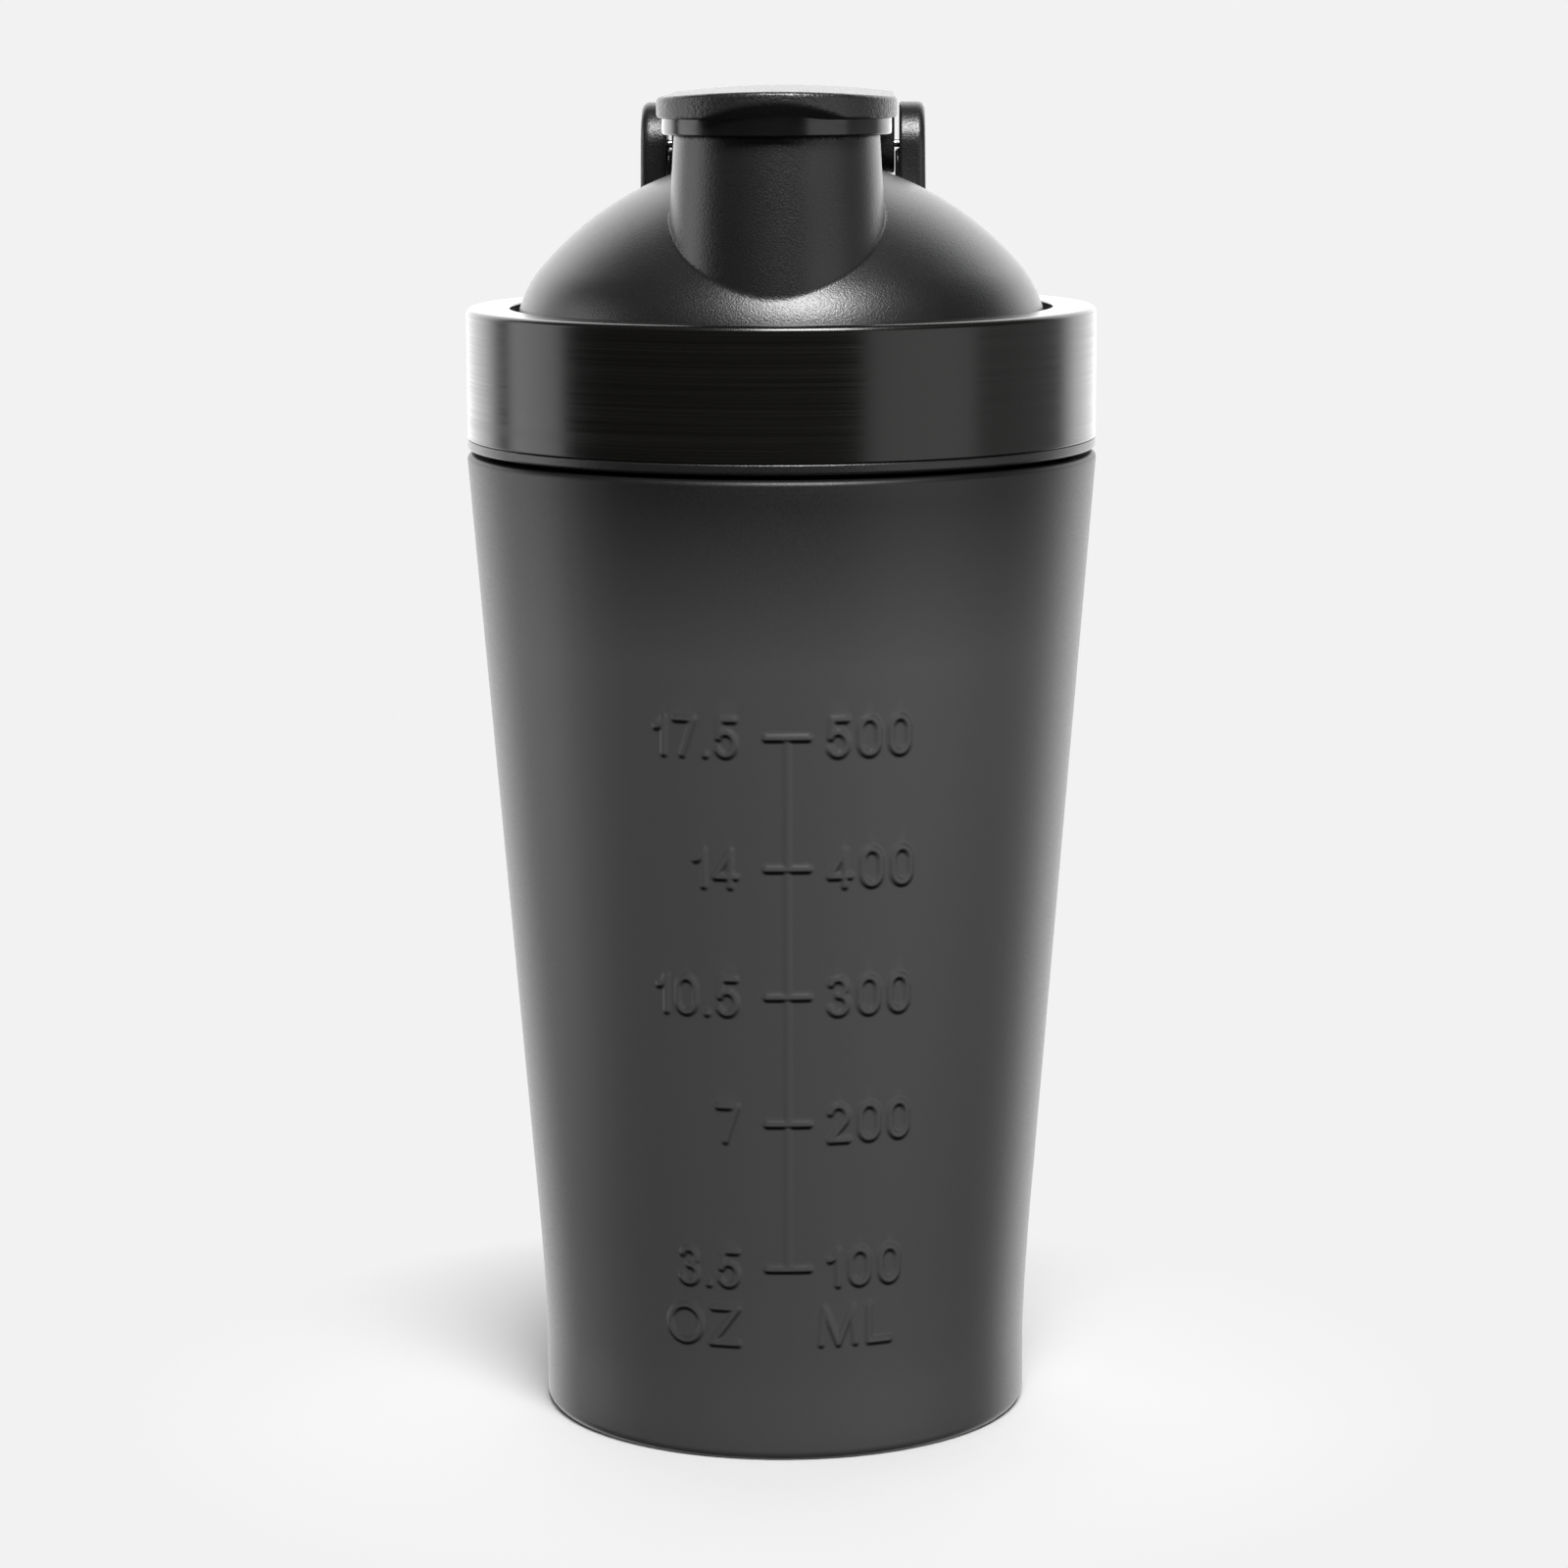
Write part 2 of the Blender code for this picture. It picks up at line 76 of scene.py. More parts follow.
# Cup
WALL = 0.6
NECK_TOP = CUP_HIGH[2]
NECK_RADIUS = 42.4
SHOULDER_HEIGHT = 144.95
CUP_TOP_RADIUS = CUP_HIGH[0]
SHOULDER_ROUNDING = 0.9
CONE_BOTTOM = 30.9
CONE_BOTTOM_RADIUS = 37.6
FOOT_RADIUS = 36.45
FOOT_HEIGHT = 12.0
BASE_ROUNDING = 1.6
BASE_RECESS_RADIUS = 31.0
BASE_RECESS_DEPTH = 1.2
RIM_ROUNDING = 0.28

# Raised volume scale on the front of the cup
SCALE_ANGLE = math.radians(2.15)  # from -Y towards +X
SCALE_LEFT = -21.0  # the reach of the scale along the wall, from its middle
SCALE_RIGHT = 19.6
SCALE_MARGIN = 0.9  # what the fine rows add above and below the figures
SCALE_PITCH = 0.25  # the mesh's pitch where the scale is
PLAIN_COLUMNS = 104
PLAIN_ROW_PITCH = 2.6
SCALE_ROWS = (  # ounces, millilitres, height
    ("17.5", "500", 108.2),
    ("14", "400", 89.1),
    ("10.5", "300", 70.2),
    ("7", "200", 51.2),
    ("3.5", "100", 29.2),
)
UNITS_HEIGHT = 20.35
TICK_HALF_LENGTH = 3.0
TICK_HALF_WIDTH = 0.16
SPINE_HALF_WIDTH = 0.2
STROKE_HALF_WIDTH = 0.15
LOWER_SOFTNESS = 0.25  # half the width of a mark's slope, which is steep underneath and gentle above
SIDE_SOFTNESS = 0.27
UPPER_SOFTNESS = 0.42
TICK_RELIEF = 0.28
STROKE_RELIEF = 0.26
SPINE_RELIEF = 0.17
FIGURE_HEIGHT = 5.15
UNITS_LETTER_HEIGHT = 5.4
OUNCES_RIGHT_EDGE = -7.4
OUNCES_GAP = 1.75
MILLILITRES_LEFT_EDGE = 6.05
MILLILITRES_GAP = 1.9
OZ_GAP = 1.6
ML_LEFT_EDGE = 4.75
ML_GAP = 2.1

# Thread
THREAD_LEAD = 4.0
THREAD_TURNS = 1.25
THREAD_BASE_WIDTH = 1.6
THREAD_CREST_WIDTH = 0.8
THREAD_STEPS_PER_TURN = 96
THREAD_FADE_STEPS = 14.0
NECK_THREAD_START = 150.0
NECK_THREAD_CREST = 43.3
LID_THREAD_CREST = 42.9

# Lid
RING_TOP = RING_HIGH[2]
RING_BOTTOM = RING_LOW[2]
RING_RADIUS = RING_HIGH[0]
RING_HOLE_RADIUS = 40.2
RING_SHEET = 0.6
RING_CORNER = 0.9
DOME_RADIUS = 46.5
DOME_CENTRE_HEIGHT = 142.1
DOME_EDGE_RADIUS = 16.0
DOME_EDGE_ANGLE = math.radians(40.2)
DOME_WALL = 2.0
SKIRT_OUTER_RADIUS = 45.6
SKIRT_INNER_RADIUS = 43.9
LIP_RADIUS = LID_HIGH[0]
LIP_BOTTOM = LID_LOW[2]
GROOVE_FLOOR = 164.0
GROOVE_RADIUS = 41.0
CHANNEL_CEILING = 162.4
COLLAR_INNER_RADIUS = 37.0
COLLAR_OUTER_RADIUS = 38.6
COLLAR_BOTTOM = 157.0
LID_CELL = 0.52
LID_FIELD_REACH = 40.5

# Spout
SPOUT_Y = SEAL_CENTRE[1]
SPOUT_TOP = 192.3
SPOUT_TOP_RADIUS = 14.7
SPOUT_ROOT_RADIUS = 16.5
SPOUT_ROOT = 162.0
SPOUT_FILLET = 0.2
SPOUT_RIM_ROUNDING = 0.5
BORE_RADIUS = 13.0

# Ears and pin
PIN_Y = PIN_CENTRE[1]
PIN_Z = PIN_CENTRE[2]
PIN_RADIUS = (PIN_HIGH[2] - PIN_LOW[2]) / 2.0
PIN_CLEARANCE = 0.15
PIN_CHAMFER = 0.15
EAR_INNER_X = 17.5
EAR_OUTER_X = 21.4
EAR_DRAFT = 0.25
EAR_RADIUS = 6.3
EAR_ROOT = 172.0
EAR_EDGE = 1.2
EAR_INNER_EDGE = 0.45
EAR_FILLET = 0.4
EAR_STEP_X = 16.88  # inner face of each ear's thicker lower part, beside the hub
EAR_STEP_TOP = 188.7
EAR_STEP_INSET = 1.0
EAR_STEP_CORNER = 2.0
EAR_STEP_EDGE = 0.25

# Seal
SEAL_RADIUS = SEAL_HIGH[0]
SEAL_BAND_BOTTOM = 192.05
SEAL_HIDDEN_TOP = 195.8
PLUG_BOTTOM = SEAL_LOW[2]
PLUG_RADIUS = 12.7
PLUG_WALL = 1.6
PLUG_CEILING = 192.85

# Flip cap
CAP_CELL = 0.42
CAP_HALF_WIDTH = CAP_HIGH[0]
CAP_REAR_HALF_WIDTH = 16.8
CAP_FRONT = CAP_LOW[1]
CAP_FRONT_REACH = SPOUT_Y - CAP_FRONT
CAP_BOTTOM = 194.35
CAP_TOP = CAP_HIGH[2]
CAP_FRONT_DROP = 0.1
CAP_SIDE_DROP = 1.1
CAP_TOP_EDGE = 0.6
CAP_BOTTOM_EDGE = 0.5
CAP_REAR_ROUNDING = 5.6
HUB_RADIUS = 4.6
HUB_FILLET = 1.2
THUMB_ARCH_WIDTH = 20.3
THUMB_ARCH_HEIGHT = 2.2
THUMB_ARCH_SLOPE = 0.85
THUMB_ARCH_EDGE = 0.35

# Mixing grid
GRID_CELL = 0.5
GRID_RADIUS = GRID_HIGH[0]
GRID_BOTTOM = GRID_LOW[2]
GRID_TOP = GRID_HIGH[2]
GRID_FLOOR = 1.4
GRID_RIM_WALL = 1.5
GRID_RIM_EDGE = 0.4
GRID_DISH_CORNER = 0.6
GRID_SLOT_ROWS = ((5.0, 17.5, 8), (19.2, 33.0, 16))  # inner radius, outer radius, slots
GRID_SLOT_CORNER = 1.2
GRID_SLOT_EDGE = 0.35
GRID_RIB = 1.7

# Whisk ball
BALL_WIRE_RADIUS = 1.0
BALL_TURNS = 6
BALL_POLE_ANGLE = 14.0
BALL_STEPS_PER_TURN = 40

# Camera, floor and light, in metres
CAMERA_DISTANCE = 0.684
CAMERA_AZIMUTH = math.radians(1.38)
CAMERA_HEIGHT = 0.2086
CAMERA_PITCH = math.radians(9.474)
CAMERA_ROLL = math.radians(-0.226)
CAMERA_PAN = math.radians(-0.012)
CAMERA_LENS = 105.61
BACKGROUND = 0.888
LIGHT_TARGET = (0.0, 0.0, 0.12)
SOFTBOXES = (  # name, azimuth and elevation in degrees, distance, width, height, radiance
    ("key_above", 12.0, 50.0, 1.3, 0.6, 0.6, 36.0),
    ("side_left", -98.0, 2.0, 1.1, 0.6, 1.0, 2.3),
    ("side_right", 53.0, -2.0, 1.2, 0.96, 0.6, 1.25),
    ("back_right", 97.0, -2.0, 1.2, 0.9, 0.6, 0.4),
)
WORLD_STRENGTH = (0.05, 3.2)  # in front of the bottle and behind it
WORLD_BEHIND = (0.46, 0.72)  # where it goes from one to the other, by the direction's Y
WORLD_BELOW_STRENGTH = (0.05, 1.0)  # what is left of it straight below and higher up
WORLD_BELOW = (-0.9, -0.4)
FLOOR_RADIUS = 12.0
PAPER = 0.445
PAPER_REACH = (0.04, 0.1)  # where the lit paper turns into the plain background
FLOOR_GLOW_REACH = (-0.55, -0.35)  # where the floor starts to light the bottle, along Y

# Painted shade in the cup's coat colour, by height in metres and by the Z of the way the surface faces
# the first colour is the painted shade's, the second the coat's own
COAT_PAINTED_SHADE = (0.0025, 0.0025, 0.0025)
COAT_LIGHT = (0.031, 0.0307, 0.0304)
# painted shade: the coat's colour darkens from these heights up to the shoulder
SHOULDER_PAINTED_SHADE_BAND = (0.118, 0.144)  # darkens with height, up to the shoulder
COAT_FOOT = (0.008, 0.012)  # below this, facing down doesn't darken the coat
# painted shade on faces turned down, such as the marks' undersides, and on faces turned up
UNDERSIDE_PAINTED_SHADE = (-0.45, -0.12)
TOPSIDE_PAINTED_SHADE = (0.0, 0.35)
TOPSIDE_PAINTED_SHADE_LEVEL = 0.45


# Meshes


def arc(centre, radius, start, end, steps):
    """Points on an arc, from angle start to angle end in degrees, both ends included."""
    angles = [math.radians(start + (end - start) * i / steps) for i in range(steps + 1)]
    return [(centre[0] + radius * math.cos(a), centre[1] + radius * math.sin(a)) for a in angles]


def rounded(corners, steps=5):
    """A closed outline. Each corner is (r, z, rounding), and a rounding becomes an arc."""
    outline = []
    for i, (r, z, rounding) in enumerate(corners):
        here = Vector((r, z))
        if not rounding:
            outline.append((r, z))
            continue
        back = (Vector(corners[i - 1][:2]) - here).normalized()
        ahead = (Vector(corners[(i + 1) % len(corners)][:2]) - here).normalized()
        half = back.angle(ahead) / 2.0
        centre = here + (back + ahead).normalized() * rounding / math.sin(half)
        start = here + back * rounding / math.tan(half) - centre
        end = here + ahead * rounding / math.tan(half) - centre
        for k in range(steps + 1):
            outline.append(tuple(centre + start.slerp(end, k / steps) * rounding))
    return outline


def link(name, shape, body, replaced):
    """Turns a bmesh in millimetres into a piece that rides on a body."""
    bmesh.ops.scale(shape, vec=(MM, MM, MM), verts=shape.verts)
    mesh = bpy.data.meshes.new(name)
    shape.to_mesh(mesh)
    shape.free()
    mesh.shade_smooth()
    return add(name, mesh, body, replaced)


def new_object(name, data):
    made = bpy.data.objects.new(name, data)
    bpy.context.scene.collection.objects.link(made)
    return made


def add(name, data, body, replaced):
    """A piece that rides on a body and stands for these CAD nodes."""
    piece = new_object(name, data)
    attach(piece, body)
    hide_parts(*replaced)
    return piece


def flat_faces_stay_flat(piece):
    """Weights each normal by face area, so that a narrow rounding doesn't bend a wide face's shading."""
    step = piece.modifiers.new("Normals", "WEIGHTED_NORMAL")
    step.mode = "FACE_AREA_WITH_ANGLE"
    return piece


def spin(shape, outline, angles, closed, centre_y=0.0, raised=None):
    """Adds an outline of (r, z), spun round a vertical axis. Angles go from -Y towards +X.

    raised adds to the radius, point by point. A point on the axis is one vertex.
    """
    outline = np.array(outline)
    radii = np.repeat(outline[:, :1], len(angles), axis=1)
    if raised is not None:
        radii = radii + raised
    x = radii * np.sin(angles)
    y = centre_y - radii * np.cos(angles)
    rows = []
    for i, (row_x, row_y) in enumerate(zip(x, y)):
        if outline[i, 0] == 0.0:
            rows.append([shape.verts.new((0.0, centre_y, outline[i, 1]))])
        else:
            rows.append([shape.verts.new((a, b, outline[i, 1])) for a, b in zip(row_x, row_y)])
    pairs = list(zip(rows, rows[1:]))
    if closed:
        pairs.append((rows[-1], rows[0]))
    for low, high in pairs:
        for k in range(len(angles)):
            places = ((low, k), (low, k + 1), (high, k + 1), (high, k))
            corners = [row[column % len(row)] for row, column in places]
            shape.faces.new(list(dict.fromkeys(corners)))


def even_angles(steps=TURN_STEPS):
    return np.arange(steps) * (2.0 * math.pi / steps)


def turned(name, outline, body, replaced, centre_y=0.0, closed=True):
    """A piece that is an outline spun all the way round."""
    shape = bmesh.new()
    spin(shape, outline, even_angles(), closed, centre_y)
    bmesh.ops.recalc_face_normals(shape, faces=shape.faces)
    return flat_faces_stay_flat(link(name, shape, body, replaced))


def thread_section(depth):
    """Points (out, rise) across a thread's ridge, bottom to top, with a rounded crest."""
    section = [(0.0, -THREAD_BASE_WIDTH / 2.0)]
    for k in range(9):
        side = k / 4.0 - 1.0
        swell = math.cos(side * math.pi / 2.0) ** 0.35 if abs(side) < 1.0 else 0.25
        section.append((depth * swell, side * THREAD_CREST_WIDTH * 0.75))
    section.append((0.0, THREAD_BASE_WIDTH / 2.0))
    return section


def add_thread(shape, root_radius, crest_radius, start_height):
    """A helical ridge which fades out at both ends."""
    steps = int(THREAD_TURNS * THREAD_STEPS_PER_TURN)
    rows = []
    for i in range(steps + 1):
        angle = 2.0 * math.pi * i / THREAD_STEPS_PER_TURN
        height = start_height + THREAD_LEAD * i / THREAD_STEPS_PER_TURN
        fade = math.sin(math.pi / 2.0 * min(1.0, (min(i, steps - i) + 0.5) / THREAD_FADE_STEPS))
        row = []
        for out, rise in thread_section((crest_radius - root_radius) * fade):
            reach = root_radius + out
            place = (reach * math.cos(angle), reach * math.sin(angle), height + rise)
            row.append(shape.verts.new(place))
        rows.append(row)
    count = len(rows[0])
    for lower, upper in zip(rows, rows[1:]):
        for k in range(count):
            after = (k + 1) % count
            shape.faces.new((lower[k], lower[after], upper[after], upper[k]))
    shape.faces.new(rows[0])
    shape.faces.new(rows[-1])


# Distance fields


def cut_round(a, b, radius):
    """What is inside both a and b, with the edge between them rounded."""
    corner = np.hypot(np.maximum(a + radius, 0.0), np.maximum(b + radius, 0.0))
    return np.minimum(np.maximum(a, b), -radius) + corner


def join_round(a, b, radius):
    """What is inside a or b, with a fillet where they meet."""
    corner = np.hypot(np.maximum(radius - a, 0.0), np.maximum(radius - b, 0.0))
    return np.maximum(np.minimum(a, b), radius) - corner


def corner_slices(shape):
    """The eight corners of each grid cell, as slices of the grid."""
    for offset in itertools.product((0, 1), repeat=3):
        yield offset, tuple(slice(o, n - 1 + o) for o, n in zip(offset, shape))


def crossing_means(values, active, low, cell):
    """For each active cell, the mean of the places where the surface crosses its edges."""
    at = np.argwhere(active)
    total = np.zeros((len(at), 3))
    hits = np.zeros(len(at))
    for axis in range(3):
        step = np.eye(3, dtype=int)[axis]
        others = [np.eye(3, dtype=int)[k] for k in range(3) if k != axis]
        for first, second in itertools.product((0, 1), repeat=2):
            start = at + first * others[0] + second * others[1]
            end = start + step
            v0 = values[tuple(start.T)]
            v1 = values[tuple(end.T)]
            crossed = (v0 < 0.0) != (v1 < 0.0)
            share = np.where(crossed, v0 / np.where(crossed, v0 - v1, 1.0), 0.0)
            place = start + share[:, None] * step
            total += np.where(crossed[:, None], place, 0.0)
            hits += crossed
    return np.array(low) + total / hits[:, None] * cell


def slope_of(field, points):
    """The field's gradient at these points."""
    reach = 0.01
    parts = []
    for axis in range(3):
        step = np.zeros(3)
        step[axis] = reach
        parts.append((field(*(points + step).T) - field(*(points - step).T)) / (2.0 * reach))
    return np.stack(parts, axis=1)


def settled(field, points, cell):
    """The points, moved along the field's slope until they lie on its surface."""
    for _ in range(4):
        slope = slope_of(field, points)
        size = np.maximum((slope**2).sum(axis=1), 0.25)
        move = field(*points.T) / size
        points = points - slope * np.clip(move, -cell, cell)[:, None]
    return points


def crossed_quads(inside, number):
    """A quad for each grid edge that the surface crosses, through the points of the four cells round it."""
    quads = []
    for axis in range(3):
        first, second = [k for k in range(3) if k != axis]
        ahead = np.take(inside, range(1, inside.shape[axis]), axis=axis)
        behind = np.take(inside, range(inside.shape[axis] - 1), axis=axis)
        at = np.argwhere(ahead != behind)
        leaving = behind[tuple(at.T)]
        cells = []
        for back in ((0, 0), (1, 0), (1, 1), (0, 1)):
            cell_at = at.copy()
            cell_at[:, first] -= back[0]
            cell_at[:, second] -= back[1]
            cells.append(number[tuple(cell_at.T)])
        ring = np.stack(cells, axis=1)
        flip = leaving if axis != 1 else ~leaving
        quads.append(np.where(flip[:, None], ring, ring[:, ::-1]))
    return np.concatenate(quads)


def surface_net(field, low, high, cell):
    """Points, quads and normals of the surface where a distance field is zero.

    Each grid cell that the surface crosses holds one point, which is then moved onto the surface.
    """
    axes = [np.arange(a, b + cell, cell) for a, b in zip(low, high)]
    grid = np.meshgrid(*axes, indexing="ij")
    values = field(*grid)
    inside = values < 0.0
    full = sum(inside[where].astype(np.int8) for _, where in corner_slices(inside.shape))
    active = (full > 0) & (full < 8)
    number = np.full(active.shape, -1)
    number[active] = np.arange(active.sum())
    points = settled(field, crossing_means(values, active, low, cell), cell)
    slope = slope_of(field, points)
    normals = slope / np.linalg.norm(slope, axis=1, keepdims=True)
    return points, crossed_quads(inside, number), normals


def net_piece(name, field, low, high, cell, body, replaced, extra=None):
    """A piece from a distance field, with the field's own normals. extra is a bmesh that joins it."""
    points, quads, normals = surface_net(field, low, high, cell)
    vertices = points
    faces = quads.tolist()
    if extra is not None:
        bmesh.ops.recalc_face_normals(extra, faces=extra.faces)
        extra.verts.index_update()
        extra.normal_update()
        start = len(points)
        vertices = np.concatenate([points, [tuple(v.co) for v in extra.verts]])
        normals = np.concatenate([normals, area_normals(extra)])
        faces += [[start + v.index for v in face.verts] for face in extra.faces]
        extra.free()
    mesh = bpy.data.meshes.new(name)
    mesh.from_pydata((vertices * MM).tolist(), [], faces)
    mesh.shade_smooth()
    mesh.normals_split_custom_set_from_vertices(normals.tolist())
    return add(name, mesh, body, replaced)


def area_normals(shape):
    """Vertex normals weighted by face area."""
    total = np.zeros((len(shape.verts), 3))
    for face in shape.faces:
        total[[v.index for v in face.verts]] += np.array(face.normal) * face.calc_area()
    return total / np.maximum(np.linalg.norm(total, axis=1, keepdims=True), 1e-12)


# Cup


def ellipse(centre, radii, start, end, steps=24):
    """Points on part of an ellipse, from angle start to angle end in degrees."""
    return [
        (centre[0] + radii[0] * x, centre[1] + radii[1] * z)
        for x, z in arc((0.0, 0.0), 1.0, start, end, steps)
    ]


def figures():
    """Each character as (width in mm, strokes). Strokes run in a box from 0 to 1 both ways."""
    zero_top = ellipse((0.5, 0.66), (0.5, 0.34), 0, 180)
    zero_bottom = ellipse((0.5, 0.34), (0.5, 0.34), 180, 360)
    two_top = ellipse((0.48, 0.71), (0.48, 0.29), 160, -35)
    three_top = ellipse((0.47, 0.76), (0.44, 0.24), 155, -90)
    three_bottom = ellipse((0.48, 0.26), (0.52, 0.26), 90, -155)
    five_bottom = ellipse((0.47, 0.32), (0.53, 0.32), 142, -150)
    return {
        "0": (2.7, [zero_top + zero_bottom + [(1.0, 0.66)]]),
        "1": (1.2, [[(0.0, 0.74), (0.5, 0.8), (1.0, 1.0), (1.0, 0.0)]]),
        "2": (2.6, [two_top + [(0.0, 0.0), (1.0, 0.0)]]),
        "3": (2.5, [three_top, three_bottom]),
        "4": (2.9, [[(0.74, 0.0), (0.74, 1.0), (0.0, 0.27), (1.0, 0.27)]]),
        "5": (2.5, [[(0.95, 1.0), (0.16, 1.0), (0.06, 0.5)] + five_bottom]),
        "7": (2.7, [[(0.0, 1.0), (1.0, 1.0), (0.38, 0.0)]]),
        ".": (0.05, [[(0.0, 0.0), (1.0, 0.0)]]),
        "O": (5.0, [ellipse((0.5, 0.5), (0.5, 0.5), 0, 360, 28)]),
        "Z": (3.9, [[(0.05, 1.0), (1.0, 1.0), (0.0, 0.0), (1.0, 0.0)]]),
        "M": (5.1, [[(0.0, 0.0), (0.1, 1.0), (0.5, 0.0), (0.9, 1.0), (1.0, 0.0)]]),
        "L": (3.2, [[(0.0, 1.0), (0.0, 0.0), (1.0, 0.0)]]),
    }


def written(text, left, middle, height, gap):
    """The strokes of a text, as lists of (along the wall, height), and its right end."""
    shapes = figures()
    strokes = []
    for character in text:
        width, shape = shapes[character]
        for stroke in shape:
            strokes.append([(left + x * width, middle + (z - 0.5) * height) for x, z in stroke])
        left += width + gap
    return strokes, left - gap


def written_to(text, right, middle, height, gap):
    """The same, with the text's right end given."""
    _, end = written(text, 0.0, middle, height, gap)
    return written(text, right - end, middle, height, gap)[0]


def scale_marks():
    """All raised marks as (points, half width, height)."""
    marks = []
    lettering = []
    for ounces, millilitres, height in SCALE_ROWS:
        tick = [(-TICK_HALF_LENGTH, height), (TICK_HALF_LENGTH, height)]
        marks.append((tick, TICK_HALF_WIDTH, TICK_RELIEF))
        lettering += written_to(ounces, OUNCES_RIGHT_EDGE, height, FIGURE_HEIGHT, OUNCES_GAP)
        lettering += written(millilitres, MILLILITRES_LEFT_EDGE, height, FIGURE_HEIGHT, MILLILITRES_GAP)[0]
    lettering += written_to("OZ", OUNCES_RIGHT_EDGE, UNITS_HEIGHT, UNITS_LETTER_HEIGHT, OZ_GAP)
    lettering += written("ML", ML_LEFT_EDGE, UNITS_HEIGHT, UNITS_LETTER_HEIGHT, ML_GAP)[0]
    marks += [(stroke, STROKE_HALF_WIDTH, STROKE_RELIEF) for stroke in lettering]
    spine = [(0.0, SCALE_ROWS[-1][2]), (0.0, SCALE_ROWS[0][2])]
    marks.append((spine, SPINE_HALF_WIDTH, SPINE_RELIEF))
    return marks


def nearest_on_line(u, z, points):
    """Distance from each place (u, z) to a line through these points, and how much of it goes up."""
    nearest = np.full(u.shape, np.inf)
    upwards = np.zeros(u.shape)
    for (u0, z0), (u1, z1) in zip(points, points[1:]):
        du, dz = u1 - u0, z1 - z0
        share = np.clip(((u - u0) * du + (z - z0) * dz) / (du * du + dz * dz), 0.0, 1.0)
        above = z - z0 - share * dz
        away = np.hypot(u - u0 - share * du, above)
        upwards = np.where(away < nearest, above, upwards)
        nearest = np.minimum(nearest, away)
    return nearest, upwards / np.maximum(nearest, 1e-6)


def relief(u, z):
    """How far the scale stands proud of the wall at each place."""
    rise = np.zeros(u.shape)
    for points, half_width, height in scale_marks():
        line = np.array(points)
        side = half_width + 2.0 * SIDE_SOFTNESS
        near = (u > line[:, 0].min() - side) & (u < line[:, 0].max() + side)
        near &= z > line[:, 1].min() - side
        near &= z < line[:, 1].max() + half_width + 2.0 * UPPER_SOFTNESS
        away, upwards = nearest_on_line(u[near], z[near], points)
        softness = SIDE_SOFTNESS + (UPPER_SOFTNESS - SIDE_SOFTNESS) * np.maximum(upwards, 0.0)
        softness -= (SIDE_SOFTNESS - LOWER_SOFTNESS) * np.maximum(-upwards, 0.0)
        ramp = np.clip((half_width + 2.0 * softness - away) / (2.0 * softness), 0.0, 1.0)
        rise[near] = np.maximum(rise[near], height * ramp * ramp * (3.0 - 2.0 * ramp))
    return rise


def cone_radius(z):
    """The tapered wall's radius, with the softer taper of the foot under it."""
    top = SHOULDER_HEIGHT - SHOULDER_ROUNDING
    taper = (CUP_TOP_RADIUS - CONE_BOTTOM_RADIUS) / (top - CONE_BOTTOM)
    if z >= CONE_BOTTOM:
        return CONE_BOTTOM_RADIUS + taper * (z - CONE_BOTTOM)
    if z <= FOOT_HEIGHT:
        return FOOT_RADIUS
    span = CONE_BOTTOM - FOOT_HEIGHT
    foot_taper = 2.0 * (CONE_BOTTOM_RADIUS - FOOT_RADIUS) / span - taper
    above = z - FOOT_HEIGHT
    return FOOT_RADIUS + foot_taper * above + (taper - foot_taper) * above**2 / (2.0 * span)


def wall_heights():
    """Heights of the outer wall's rows, top to bottom: close together where the scale has figures."""
    half_band = FIGURE_HEIGHT / 2.0 + STROKE_HALF_WIDTH + SCALE_MARGIN
    bands = [(height - half_band, height + half_band) for _, _, height in SCALE_ROWS[:-1]]
    bands.append((UNITS_HEIGHT - half_band - 0.2, SCALE_ROWS[-1][2] + half_band))
    edges = [SHOULDER_HEIGHT - SHOULDER_ROUNDING]
    for low, high in bands:
        edges += [high, low]
    edges.append(BASE_ROUNDING)
    heights = []
    for k, (upper, lower) in enumerate(zip(edges, edges[1:])):
        pitch = SCALE_PITCH if k % 2 else PLAIN_ROW_PITCH
        count = max(1, round((upper - lower) / pitch))
        heights += [upper + (lower - upper) * i / count for i in range(count)]
    return heights + [BASE_ROUNDING]


def wall_angles():
    """Angles of the cup's columns: close together across the scale, wider round the rest."""
    middle_radius = cone_radius(sum(row[2] for row in SCALE_ROWS) / len(SCALE_ROWS))
    left = SCALE_ANGLE + SCALE_LEFT / FOOT_RADIUS
    right = SCALE_ANGLE + SCALE_RIGHT / FOOT_RADIUS
    fine = round((right - left) * middle_radius / SCALE_PITCH)
    rest = 2.0 * math.pi - (right - left)
    across_scale = np.linspace(left, right, fine, endpoint=False)
    round_the_rest = np.linspace(right, right + rest, PLAIN_COLUMNS, endpoint=False)
    return np.concatenate([across_scale, round_the_rest])


